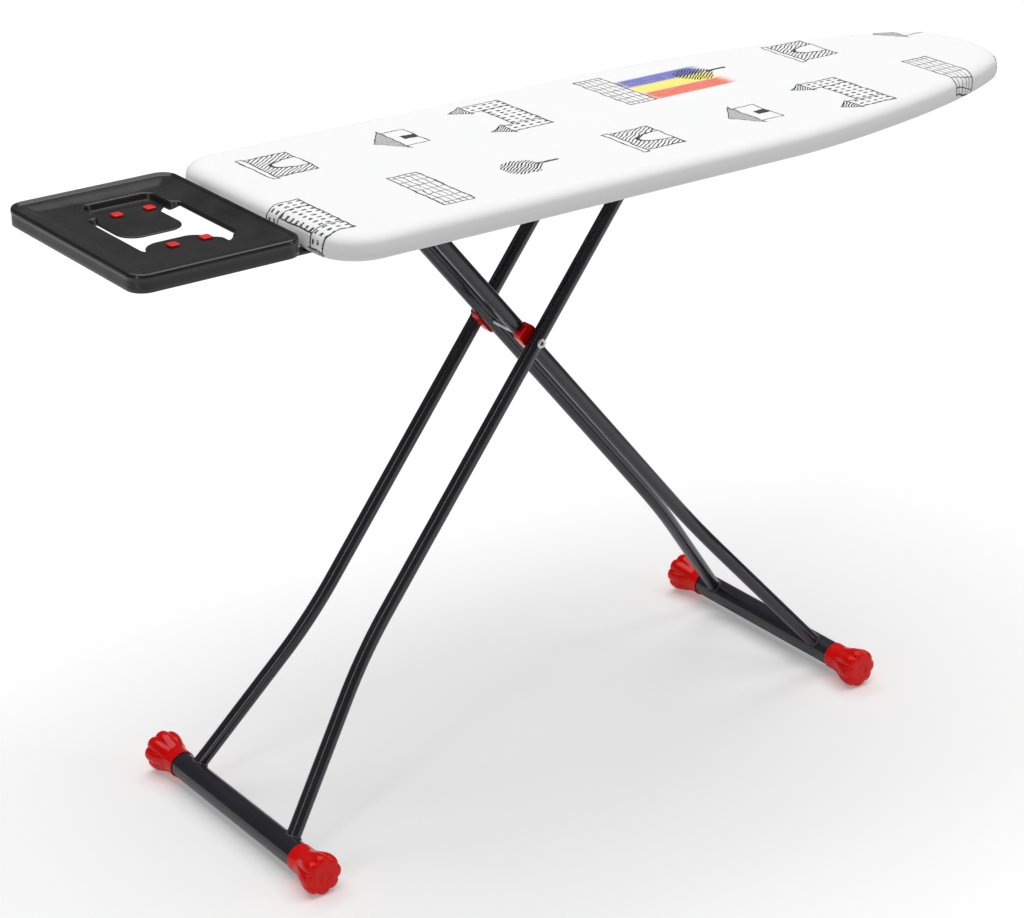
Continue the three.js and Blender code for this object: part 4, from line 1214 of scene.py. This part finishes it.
def make_tray():
    crest = REST_HIGH.z
    edge_profile = [
        (2.2, -22), (1.5, -22), (0.7, -21.3), (0.7, -17), (0.7, -11), (0.7, -7.6), (0.5, -6.9), (0.0, -6.2),
        (0.0, -3.6), (0.5, -1.7), (1.5, -0.5), (2.9, 0.0), (4.2, -0.25), (5.4, -1.1), (6.3, -2.1),
        (7.2, -2.7), (8.6, -3.0), (11, -3.3), (15, -4.1), (21, -5.6), (27, -7.1), (31, -8.0),
    ]
    rings = []
    for distance, drop in edge_profile:
        ring = tray_ring(from_edge, distance * MM)
        rings.append([(x, y, crest + drop * MM) for x, y in ring])
    recess = [tray_ring(from_opening, distance * MM, 0.16) for distance in (3.2, 1.6, 0.6, 0.0)]
    for ring, drop in zip(recess, (-8.45, -8.6, -9.1, -9.9)):
        rings.append([(x, y, crest + drop * MM) for x, y in ring])
    wall = recess[-1]
    lip_rows = ((0.7, 11.2, 12.6), (1.3, 12.2, 15.2), (2.2, 12.6, 17.0), (3.6, 12.6, 17.5))
    for inward, open_drop, root_drop in lip_rows:
        ring = []
        for x, y in wall:
            share = root_share(y)
            drop = open_drop * (1 - share) + root_drop * share
            step = min(inward, 1.0) * (1 - share) + inward * share
            length = math.hypot(x, y)
            scale = (length - step * MM) / length
            ring.append((x * scale, y * scale, crest - drop * MM))
        rings.append(ring)
    points = [Vector((x, y, 0)) + Vector((REST_MID.x, REST_MID.y, z)) for ring in rings for x, y, z in ring]
    faces = []
    for k in range(len(rings) - 1):
        faces += loop_faces(k * SPOKES, (k + 1) * SPOKES, SPOKES)
    return mesh_piece("pressed_tray", points, faces)


# %% [markdown]
# A tongue is a flat plate with a round tip. Its outline is again a line of distance zero, round its
# own middle, and rings inside it give the sheet a slightly turned-down edge.

# %% Tongues
def tongue_distance(root, tip):
    middle_y = (root + tip) / 2
    half = abs(root - tip) / 2
    radius = 24 * MM

    def distance(x, y):
        narrow = rounded_box(x, y + middle_y, TONGUE_X0, TONGUE_X1, middle_y - half, middle_y + half, radius)
        back = 40 * MM
        low, high = sorted((root, root - math.copysign(back, root)))
        base = rounded_box(x, y + middle_y, TONGUE_X0 + 3 * MM, TONGUE_X1 + 11 * MM, low, high, 11 * MM)
        return soft_minimum(narrow, base, 10 * MM)

    return distance, middle_y


def make_tongue(name, root, tip):
    distance, middle_y = tongue_distance(root, tip)
    centre_x = (TONGUE_X0 + TONGUE_X1) / 2
    level = REST_HIGH.z - TONGUE_DROP
    points, faces = [], []
    stations = ((0.3, -1.4), (0.0, -0.9), (-0.3, -0.3), (-0.9, 0.0), (-2.5, 0.1), (-6, 0.1), (-14, 0.1))
    for step, rise in stations:
        for k in range(SPOKES):
            angle = 2 * math.pi * k / SPOKES
            out = along_ray(angle, lambda x, y: distance(x + centre_x, y), step * MM, 0.09)
            x, y = centre_x + math.cos(angle) * out, middle_y + math.sin(angle) * out
            points.append((REST_MID.x + x, REST_MID.y + y, level + rise * MM))
    for k in range(len(stations) - 1):
        faces += loop_faces(k * SPOKES, (k + 1) * SPOKES, SPOKES)
    centre = len(points)
    points.append((REST_MID.x + centre_x, REST_MID.y + middle_y, level + 0.1 * MM))
    last = (len(stations) - 1) * SPOKES
    faces += [(last + k, last + (k + 1) % SPOKES, centre) for k in range(SPOKES)]
    return mesh_piece(name, points, faces)


tray = make_tray()
for piece_name, root, tip in (("far_tongue", FAR_ROOT, FAR_TIP), ("near_tongue", NEAR_ROOT, NEAR_TIP)):
    tongue = make_tongue(piece_name, root, tip)
    tongue.data.materials.append(REST_ENAMEL)
    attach(tongue, "board")
    thicken = tongue.modifiers.new("steel", "SOLIDIFY")
    thicken.thickness = STEEL
    thicken.offset = -1.0
    tongue.parent = tray
thicken = tray.modifiers.new("steel", "SOLIDIFY")
thicken.thickness = STEEL
thicken.offset = -1.0
place(tray, "board", "gloss_black_enamel", REST_ENAMEL, "iron_rest")

# %% [markdown]
# Four silicone pads are pressed onto the tongues, so that the soleplate never touches the enamel.
# Each is a low rounded square: a square ring drawn as a superellipse, with a soft shoulder and a
# faintly dished top.

# %% Silicone pads
def make_pad(node):
    low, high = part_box(node)
    centre, half = (low + high) / 2, (high - low) / 2
    height = high.z - low.z
    steps = 48
    stations = ((0.97, 0.0), (1.0, 0.12), (1.0, 0.62), (0.97, 0.82), (0.90, 0.95), (0.80, 1.0), (0.45, 0.94))
    points, faces = [], []
    for width, rise in stations:
        for k in range(steps):
            angle = 2 * math.pi * k / steps
            c, s = math.cos(angle), math.sin(angle)
            reach = (abs(c) ** 5 + abs(s) ** 5) ** (-1 / 5)
            x, y = centre.x + half.x * width * reach * c, centre.y + half.y * width * reach * s
            points.append((x, y, low.z + height * rise))
    for k in range(len(stations) - 1):
        faces += loop_faces(k * steps, (k + 1) * steps, steps)
    faces.append(tuple(range(steps)))
    top = len(points)
    points.append((centre.x, centre.y, low.z + height * 0.92))
    last = (len(stations) - 1) * steps
    faces += [(last + k, last + (k + 1) % steps, top) for k in range(steps)]
    return mesh_piece(node.replace("rest_pad", "silicone_pad"), points, faces)


for side in ("near", "far"):
    for end in ("outer", "inner"):
        node = f"rest_pad_{side}_{end}"
        place(make_pad(node), "board", "red_silicone", RED_SILICONE, node)

# %% [markdown]
# ## The legs
# Each leg frame is two round tubes, bent outwards low down, welded to a round foot bar. A tube is a
# circle swept along a centre line, and the bend is a smooth curve, because a tube bender rolls it
# round a former. Each line is written in its own leg: how far up the leg, and how far sideways.

# %% Swept tubes
TUBE = 9.5 * MM
TUBE_WALL = 1.2 * MM
BAR = 17 * MM
SPREAD = {"outer": (60.4 * MM, 115 * MM, 0.251), "inner": (35.0 * MM, 111 * MM, 0.275)}
BEND_REACH = 0.060
TOP_MARGIN = 7 * MM
ACROSS = Vector((0, 1, 0))


def leg_line(leg, sign):
    """Centre line from just inside the foot bar to the top end, as points in space."""
    foot, top = (OUTER_FOOT, HINGE) if leg == "outer" else (INNER_FOOT, SLIDER)
    foot, top = Vector((foot.x, 0, foot.z)), Vector((top.x, 0, top.z))
    along = (top - foot).normalized()
    length = (top - foot).length
    narrow, wide, bend = SPREAD[leg]
    corner = np.array([bend, narrow])
    start = np.array([0.0, wide])
    toward_foot = corner + (start - corner) / np.linalg.norm(start - corner) * BEND_REACH
    toward_top = corner + np.array([BEND_REACH, 0.0])
    first = start + (corner - start) * (13.0 * MM / bend)
    line = [first + (toward_foot - first) * share for share in np.linspace(0, 1, 8)[:-1]]
    for t in np.linspace(0, 1, 17):
        line.append((1 - t) ** 2 * toward_foot + 2 * (1 - t) * t * corner + t * t * toward_top)
    line += [np.array([s, narrow]) for s in np.linspace(toward_top[0], length + TOP_MARGIN, 20)[1:]]
    points = [foot + along * s + ACROSS * (sign * y) for s, y in line]
    return points, along.cross(ACROSS).normalized()


def sweep(name, line, normal, radius, sides=40, hollow=None):
    """A round tube along a line that lies in one plane. The normal is that plane's."""
    points, faces = [], []

    def ring(centre, tangent, size):
        side = normal.cross(tangent).normalized()
        for k in range(sides):
            angle = 2 * math.pi * k / sides
            points.append(centre + size * (math.cos(angle) * normal + math.sin(angle) * side))

    for i, centre in enumerate(line):
        tangent = (line[min(i + 1, len(line) - 1)] - line[max(i - 1, 0)]).normalized()
        ring(centre, tangent, radius)
    end = (line[-1] - line[-2]).normalized()
    if hollow:
        ring(line[-1] + end * 0.4 * MM, end, radius - 0.4 * MM)
        ring(line[-1] + end * 0.4 * MM, end, hollow + 0.3 * MM)
        ring(line[-1], end, hollow)
        ring(line[-1] - end * 14 * MM, end, hollow)
    rings = len(points) // sides
    for k in range(rings - 1):
        faces += loop_faces(k * sides, (k + 1) * sides, sides)
    faces.append(tuple(range(sides)))
    faces.append(tuple(range(len(points) - 1, len(points) - 1 - sides, -1)))
    return sharpen(mesh_piece(name, points, faces), 50)


for leg in ("outer", "inner"):
    for side, sign in (("near", -1), ("far", 1)):
        line, normal = leg_line(leg, sign)
        tube = sweep(f"{leg}_tube_{side}", line, normal, TUBE, hollow=TUBE - TUBE_WALL)
        place(tube, f"{leg}_leg", "black_paint", TUBE_PAINT, f"{leg}_leg_tube_{side}")

# %% [markdown]
# A weld bead runs round the foot of every tube, where it meets the bar. The welder's hand leaves
# small overlapping waves. The bead follows the line where the tube's skin enters the bar: for each
# side of the tube, that is where its distance from the bar's axis equals the bar's radius.

# %% Weld beads
def make_weld(name, leg, sign, bead_radius=1.9 * MM, around=96, sides=10):
    line, normal = leg_line(leg, sign)
    foot = OUTER_FOOT if leg == "outer" else INNER_FOOT
    tangent = (line[1] - line[0]).normalized()
    side = normal.cross(tangent).normalized()
    seam = []
    for k in range(around):
        angle = 2 * math.pi * k / around
        skin = line[0] + TUBE * (math.cos(angle) * normal + math.sin(angle) * side)
        low, high = -30 * MM, 40 * MM
        for _ in range(24):
            mid = (low + high) / 2
            spot = skin + tangent * mid
            away = math.hypot(spot.x - foot.x, spot.z - foot.z)
            low, high = (mid, high) if away < BAR else (low, mid)
        seam.append(skin + tangent * low)
    points, faces = [], []
    for k in range(around):
        forward = (seam[(k + 1) % around] - seam[k - 1]).normalized()
        out = (seam[k] - line[0] - tangent * (seam[k] - line[0]).dot(tangent)).normalized()
        up = forward.cross(out).normalized()
        wave = 1 + 0.20 * math.cos(k * math.pi / 2) + 0.08 * math.sin(k * 1.7 + sign)
        for j in range(sides):
            angle = 2 * math.pi * j / sides
            points.append(seam[k] + bead_radius * wave * (math.cos(angle) * out + math.sin(angle) * up))
    for k in range(around):
        faces += loop_faces(k * sides, (k + 1) % around * sides, sides)
    return mesh_piece(name, points, faces)


for leg in ("outer", "inner"):
    for side, sign in (("near", -1), ("far", 1)):
        weld = make_weld(f"{leg}_weld_{side}", leg, sign)
        place(weld, f"{leg}_leg", "black_paint", TUBE_PAINT)

# %% [markdown]
# ## Turned pieces
# Bars, rods, rivets, bushes and push caps are all round about an axis along Y, so one lathe helper
# makes them. A profile is a list of (distance along the axis, radius). A closed profile makes a
# ring with a hole through it.

# %% Lathe
def turned(name, centre, profile, sides=48, ring=False):
    points, faces = [], []
    for along, radius in profile:
        for k in range(sides):
            angle = 2 * math.pi * k / sides
            x, z = centre.x + radius * math.cos(angle), centre.z + radius * math.sin(angle)
            points.append((x, centre.y + along, z))
    for k in range(len(profile) - 1):
        faces += loop_faces(k * sides, (k + 1) * sides, sides)
    if ring:
        faces += loop_faces((len(profile) - 1) * sides, 0, sides)
    else:
        faces.append(tuple(range(sides)))
        faces.append(tuple(range(len(points) - 1, len(points) - 1 - sides, -1)))
    return sharpen(mesh_piece(name, points, faces), 40)


def rod(name, node, body, slot, material, chamfer=0.6 * MM):
    low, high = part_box(node)
    centre, half = (low + high) / 2, (high.y - low.y) / 2
    radius = (high.z - low.z) / 2
    profile = [
        (-half, radius - chamfer), (-half + chamfer, radius), (0, radius),
        (half - chamfer, radius), (half, radius - chamfer),
    ]
    return place(turned(name, centre, profile, 64), body, slot, material, node)


rod("outer_bar", "outer_foot_bar", "outer_leg", "black_paint", TUBE_PAINT)
rod("inner_bar", "inner_foot_bar", "inner_leg", "black_paint", TUBE_PAINT)
rod("top_hinge_rod", "hinge_rod", "board", "zinc_plate", ZINC_ROD)
rod("sliding_rod", "slider_rod", "inner_leg", "zinc_plate", ZINC_ROD)
rod("catch_turning_rod", "catch_rod", "release", "zinc_plate", ZINC_ROD)

# %% [markdown]
# The crossing pivot is a tubular rivet: a hollow axle whose ends are rolled over a washer. From the
# side it shows as a bright ring with a dark hole.

# %% Crossing pivot
def make_axle():
    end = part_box("pivot_axle")[1].y
    hole, skin, lip = 2.3 * MM, 4.0 * MM, 5.2 * MM
    half = [
        (0.0, skin), (end - 1.9 * MM, skin), (end - 1.5 * MM, skin + 0.3 * MM), (end - 0.9 * MM, lip),
        (end - 0.3 * MM, lip - 0.2 * MM), (end, skin), (end - 0.2 * MM, hole + 0.6 * MM),
        (end - 1.2 * MM, hole), (0.0, hole),
    ]
    mirrored = [(-along, radius) for along, radius in reversed(half[1:-1])]
    profile = half + mirrored
    return turned("rivet_axle", Vector((PIVOT.x, 0, PIVOT.z)), profile, 64, ring=True)


place(make_axle(), "outer_leg", "zinc_plate", ZINC_ROD, "pivot_axle")
for side, sign in (("near", -1), ("far", 1)):
    low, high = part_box(f"rivet_collar_{side}")
    inner, outer = (high.y, low.y) if sign < 0 else (low.y, high.y)
    thick = abs(outer - inner)
    profile = [
        (0.0, 4.2 * MM), (0.0, 6.4 * MM), (0.5 * thick, 6.5 * MM), (0.85 * thick, 6.1 * MM),
        (thick, 5.4 * MM), (thick, 4.2 * MM),
    ]
    profile = [(sign * along, radius) for along, radius in profile]
    washer = turned(f"rivet_washer_{side}", Vector((PIVOT.x, inner, PIVOT.z)), profile, 48, ring=True)
    place(washer, "outer_leg", "zinc_plate", ZINC_ROD, f"rivet_collar_{side}")

# %% [markdown]
# Push caps hold the two top rods. Each is a small cup with a domed end and a rolled lip. The slider
# runs on flanged bushes, which are plain rings with a groove for the rail.

# %% Push caps and bushes
def push_cap(name, node, body):
    low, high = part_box(node)
    centre = (low + high) / 2
    sign = 1 if centre.y > 0 else -1
    mouth = low.y if sign > 0 else high.y
    length = high.y - low.y
    profile = [
        (0.8 * MM, 4.4 * MM), (0.0, 5.2 * MM), (0.1 * MM, 6.4 * MM), (0.7 * MM, 7.0 * MM),
        (1.4 * MM, 6.5 * MM),
        (0.55 * length, 6.3 * MM), (0.75 * length, 5.7 * MM), (0.9 * length, 4.4 * MM),
        (0.98 * length, 2.2 * MM), (length, 0.5 * MM),
    ]
    profile = [(sign * along, radius) for along, radius in profile]
    cap = turned(name, Vector((centre.x, mouth, centre.z)), profile)
    return place(cap, body, "zinc_plate", ZINC_ROD, node)


def bush(name, node):
    low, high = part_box(node)
    centre = (low + high) / 2
    half = (high.y - low.y) / 2
    flange, bore, groove = (high.z - low.z) / 2, 4.3 * MM, 5.3 * MM
    lip = 1.4 * MM
    profile = [
        (-half, bore + 0.3 * MM), (-half, flange - 0.5 * MM), (-half + 0.5 * MM, flange),
        (-half + lip, flange - 0.2 * MM),
        (-half + lip, groove), (half - lip, groove), (half - lip, flange - 0.2 * MM),
        (half - 0.5 * MM, flange), (half, flange - 0.5 * MM), (half, bore + 0.3 * MM),
    ]
    return place(turned(name, centre, profile, ring=True), "inner_leg", "dark_plastic", DARK_PLASTIC, node)


for side in ("near", "far"):
    push_cap(f"hinge_push_cap_{side}", f"hinge_cap_{side}", "board")
    push_cap(f"slider_push_cap_{side}", f"slider_cap_{side}", "inner_leg")
    bush(f"slide_bush_{side}", f"slider_bush_{side}")

# %% [markdown]
# ## The foot caps
# The bright feet are the part one notices first. Each is a smooth collar that flares into eight
# rounded lobes, with grooves that die out towards the collar and run over the domed end to a small
# round boss. The lobes are a power of a cosine: a low power gives full petals with narrow grooves.

# %% Foot caps
LOBES = 8
CAP_CREST = 27.0 * MM
CAP_GROOVE = 4.6 * MM


def smooth(points, steps):
    """Catmull-Rom points through a short list of rows."""
    rows = np.array([points[0], *points, points[-1]], float)
    out = []
    for i in range(1, len(rows) - 2):
        p0, p1, p2, p3 = rows[i - 1 : i + 3]
        for t in np.arange(steps) / steps:
            out.append(0.5 * (2 * p1 + (p2 - p0) * t + (2 * p0 - 5 * p1 + 4 * p2 - p3) * t**2
                              + (3 * p1 - p0 - 3 * p2 + p3) * t**3))
    out.append(rows[-2])
    return out


def make_foot_cap(name, node):
    low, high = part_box(node)
    centre = (low + high) / 2
    sign = 1 if centre.y > 0 else -1
    edge = low.y if sign > 0 else high.y
    length = high.y - low.y
    # Along the cap in shares of its length, radius in millimetres, and how deep the grooves are.
    stations = [
        (0.000, 17.2, 0.0), (0.000, 18.1, 0.0), (0.012, 18.5, 0.0), (0.10, 18.5, 0.0), (0.24, 18.6, 0.0),
        (0.36, 19.7, 0.12), (0.50, 22.6, 0.55), (0.64, 25.6, 0.9), (0.76, 27.0, 1.0), (0.87, 26.9, 1.0),
        (0.935, 25.8, 1.0), (0.972, 23.4, 0.95), (0.990, 20.0, 0.8), (1.000, 15.0, 0.5), (0.996, 9.5, 0.15),
        (0.990, 8.4, 0.0), (0.976, 8.0, 0.0), (0.974, 7.2, 0.0), (0.982, 4.0, 0.0), (0.984, 0.6, 0.0),
    ]
    around = 192
    points, faces = [], []
    rows = smooth(stations, 4)
    for share, radius, pressed in rows:
        radius *= MM
        for k in range(around):
            angle = 2 * math.pi * k / around
            petal = abs(math.cos(LOBES / 2 * angle)) ** 0.55
            reach = radius - CAP_GROOVE * pressed * (1 - petal) * min(radius / CAP_CREST, 1)
            reach = min(reach, CAP_CREST)
            x, z = centre.x + reach * math.cos(angle), centre.z + reach * math.sin(angle)
            points.append((x, edge + sign * share * length, z))
    for k in range(len(rows) - 1):
        faces += loop_faces(k * around, (k + 1) * around, around)
    faces.append(tuple(range(len(points) - 1, len(points) - 1 - around, -1)))
    start = len(points)
    for deep in (0.0, 0.7):
        for k in range(around):
            angle = 2 * math.pi * k / around
            x, z = centre.x + 17.25 * MM * math.cos(angle), centre.z + 17.25 * MM * math.sin(angle)
            points.append((x, edge + sign * deep * length, z))
    faces += loop_faces(0, start, around) + loop_faces(start, start + around, around)
    faces.append(tuple(range(start + around, start + 2 * around)))
    return mesh_piece(name, points, faces)


for leg in ("outer", "inner"):
    for side in ("near", "far"):
        node = f"{leg}_foot_cap_{side}"
        place(make_foot_cap(f"{leg}_cap_{side}", node), f"{leg}_leg", "red_plastic", RED_PLASTIC, node)

# %% [markdown]
# ## Sheet metal and small moulded parts
# Brackets, braces, rails, arms, lugs and the lock have the right shape in the CAD model, but its
# edges are knife sharp. A stamped or moulded edge always has a small radius, and that radius is
# what catches the light. So each part is copied, its flat faces are merged, and its edges get a
# small bevel.

# %% Rounded copies of CAD parts
def softened(name, node, width, steps=2, turn=28):
    mesh = frame["nodes"][node].data.copy()
    mesh.name = name
    work = bmesh.new()
    work.from_mesh(mesh)
    bmesh.ops.remove_doubles(work, verts=work.verts, dist=0.004 * MM)
    bmesh.ops.dissolve_limit(
        work, angle_limit=math.radians(1.5), verts=work.verts, edges=work.edges
    )
    edges = [
        edge for edge in work.edges
        if len(edge.link_faces) == 2 and edge.calc_face_angle(0) > math.radians(turn)
    ]
    bmesh.ops.bevel(
        work, geom=edges, offset=width, segments=steps, profile=0.5, affect="EDGES", clamp_overlap=True
    )
    bmesh.ops.triangulate(work, faces=[face for face in work.faces if len(face.verts) > 4])
    bmesh.ops.recalc_face_normals(work, faces=work.faces)
    work.to_mesh(mesh)
    work.free()
    mesh.shade_smooth()
    piece = bpy.data.objects.new(name, mesh)
    bpy.context.scene.collection.objects.link(piece)
    return sharpen(piece, 24)


SHEET_PARTS = {
    "leg_hinge_bracket": "hinge_bracket", "tail_cross_brace": "tail_brace",
    "middle_cross_brace": "middle_brace", "front_cross_stiffener": "front_stiffener",
    "nose_cross_stiffener": "nose_stiffener", "slotted_rail_near": "slide_rail_near",
    "slotted_rail_far": "slide_rail_far", "tray_arm_near": "rest_arm_near",
    "tray_arm_far": "rest_arm_far", "catch_bearing_far": "catch_lug_far",
    "catch_bearing_near": "catch_lug_near",
}
for piece_name, node in SHEET_PARTS.items():
    place(softened(piece_name, node, 0.35 * MM), "board", "black_paint", TUBE_PAINT, node)

for piece_name, node in (("notched_catch", "height_catch"), ("hand_lever", "release_lever")):
    place(softened(piece_name, node, 0.4 * MM), "release", "zinc_plate", ZINC_SHEET, node)

handle = softened("lever_handle", "lever_grip", 1.4 * MM, 3)
place(handle, "release", "dark_plastic", DARK_PLASTIC, "lever_grip")
for side in ("near", "far"):
    saddle = softened(f"leg_saddle_{side}", f"pivot_saddle_{side}", 1.3 * MM, 4)
    place(saddle, "inner_leg", "red_plastic", RED_PLASTIC, f"pivot_saddle_{side}")

# %% [markdown]
# The arm screws are pan heads with a cross recess. The recess is four short slots cut down into the
# head, drawn as a flat star that sinks below it.

# %% Pan-head screws
def make_screw(name, node):
    low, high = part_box(node)
    centre = (low + high) / 2
    head = (high.x - low.x) / 2
    sides = 32
    points, faces = [], []

    def ring(radius_at, z):
        for k in range(sides):
            angle = 2 * math.pi * k / sides
            radius = radius_at(angle)
            points.append((centre.x + radius * math.cos(angle), centre.y + radius * math.sin(angle), z))

    def star(angle):
        return head * (0.16 + 0.34 * abs(math.cos(2 * angle)) ** 6)

    ring(lambda angle: 2 * MM, high.z)
    ring(lambda angle: 2 * MM, low.z + 2.7 * MM)
    ring(lambda angle: head, low.z + 2.6 * MM)
    ring(lambda angle: head, low.z + 1.3 * MM)
    ring(lambda angle: head * 0.88, low.z + 0.4 * MM)
    ring(lambda angle: head * 0.62, low.z)
    ring(star, low.z)
    ring(lambda angle: star(angle) * 0.7, low.z + 1.4 * MM)
    for k in range(7):
        faces += loop_faces(k * sides, (k + 1) * sides, sides)
    faces.append(tuple(range(sides)))
    faces.append(tuple(range(8 * sides - 1, 7 * sides - 1, -1)))
    return sharpen(mesh_piece(name, points, faces), 40)


for side in ("near", "far"):
    for number in (1, 2):
        node = f"arm_screw_{side}_{number}"
        place(make_screw(f"pan_screw_{side}_{number}", node), "board", "zinc_plate", ZINC_ROD, node)

# %% [markdown]
# A torsion spring brings the catch back. It is a coil round the turning rod with one straight leg
# at each end: one rests on the deck and one presses on the catch.

# %% Torsion spring
def make_spring():
    low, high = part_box("catch_spring")
    rod_low, rod_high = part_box("catch_rod")
    axis = (rod_low + rod_high) / 2
    wire = 0.8 * MM
    radius = (high.x - low.x) / 2 - wire
    turns, steps = 4.5, 36
    line = [Vector((axis.x + radius, low.y + wire, high.z + 9 * MM))]
    for k in range(int(turns * steps) + 1):
        angle = 2 * math.pi * k / steps
        y = low.y + wire + (high.y - low.y - 2 * wire) * k / (turns * steps)
        line.append(Vector((axis.x + radius * math.cos(angle), y, axis.z + radius * math.sin(angle))))
    line.append(line[-1] + Vector((0, 0, 12 * MM)))
    points, faces = [], []
    sides = 10
    for i, centre in enumerate(line):
        tangent = (line[min(i + 1, len(line) - 1)] - line[max(i - 1, 0)]).normalized()
        side = tangent.cross(ACROSS).normalized()
        up = side.cross(tangent)
        for k in range(sides):
            angle = 2 * math.pi * k / sides
            points.append(centre + wire * (math.cos(angle) * side + math.sin(angle) * up))
    for k in range(len(line) - 1):
        faces += loop_faces(k * sides, (k + 1) * sides, sides)
    faces.append(tuple(range(sides)))
    faces.append(tuple(range(len(points) - 1, len(points) - 1 - sides, -1)))
    return mesh_piece("torsion_spring", points, faces)


place(make_spring(), "board", "zinc_plate", ZINC_ROD, "catch_spring")

# %% [markdown]
# ## Stage
# A plain pale floor and a wide soft panel high over the object give most of the light, so the top of
# the board is white and its side band falls into a soft grey. Two narrow strips draw the long
# highlights on the tubes. The surround is white to the eye but gives only a little light, or the
# whole board would wash out. The camera looks down on the square end from the near side with a long
# lens.

# %% Floor and lights
def soft_panel(name, place_at, aim, size, power):
    light = bpy.data.lights.new(name, "AREA")
    light.shape = "RECTANGLE"
    light.size, light.size_y = size
    light.energy = power
    panel = bpy.data.objects.new(name, light)
    bpy.context.scene.collection.objects.link(panel)
    panel.location = place_at
    panel.rotation_euler = (Vector(aim) - Vector(place_at)).to_track_quat("-Z", "Y").to_euler()
    return panel


def make_floor():
    half = 9.0
    corners = [(-half, -half, 0), (half, -half, 0), (half, half, 0), (-half, half, 0)]
    floor = mesh_piece("studio_floor", [(x, y, -0.2 * MM) for x, y, _ in corners], [(0, 1, 2, 3)])
    material, pen, surface = new_finish(
        "pale floor", Roughness=0.75, Specular_IOR_Level=0.1, Emission_Strength=1.0
    )
    cloudy = pen.noise(pen.object_place(), 1.2, 2.0)
    pen.feed(surface.inputs["Base Color"], pen.mix(cloudy, rgb(0.91, 0.91, 0.91), rgb(0.93, 0.93, 0.93)))
    # The sweep of paper glows a little towards the eye, more so far from the lamp.
    far_away = pen.node("ShaderNodeVectorMath", operation="LENGTH")
    pen.feed(far_away.inputs[0], pen.object_place())
    lift = pen.ramp(far_away.outputs["Value"], 0.6, 5.0, 0.24, 0.70)
    seen = pen.node("ShaderNodeLightPath").outputs["Is Camera Ray"]
    glow = pen.mix(pen.times(seen, lift), rgb(0.0, 0.0, 0.0), rgb(1.0, 1.0, 1.0))
    pen.feed(surface.inputs["Emission Color"], glow)
    floor.data.materials.append(material)
    return floor


make_floor()
soft_panel("overhead panel", (0.3, 0.4, 4.6), (0.3, 0.4, 0.5), (6.0, 5.4), 232)
soft_panel("left strip", (-2.8, -1.2, 1.4), (-0.2, 0, 0.5), (0.30, 2.6), 9.0)
soft_panel("right strip", (2.0, -2.6, 1.4), (0.1, 0, 0.4), (0.30, 2.4), 9.0)

world = bpy.context.scene.world or bpy.data.worlds.new("studio")
bpy.context.scene.world = world
world.use_nodes = True
surround = world.node_tree.nodes["Background"]
surround.inputs["Color"].default_value = rgb(1.0, 1.0, 1.0)
air = Pen(world.node_tree)
seen = air.node("ShaderNodeLightPath").outputs["Is Camera Ray"]
air.feed(surround.inputs["Strength"], air.math("MULTIPLY_ADD", seen, 0.88, 0.12))
bpy.context.scene.view_settings.view_transform = "Standard"

# %% Camera
camera_data = bpy.data.cameras.new("camera")
camera_data.lens = 99.43
camera_data.sensor_width = 36.0
camera_data.shift_x = -0.0011
camera_data.shift_y = -0.0041
camera = bpy.data.objects.new("camera", camera_data)
camera.location = (-2.0857, -2.6781, 1.8861)
camera.rotation_euler = Euler((math.radians(66.087), math.radians(-0.08), math.radians(-36.734)))
bpy.context.scene.collection.objects.link(camera)
bpy.context.scene.camera = camera
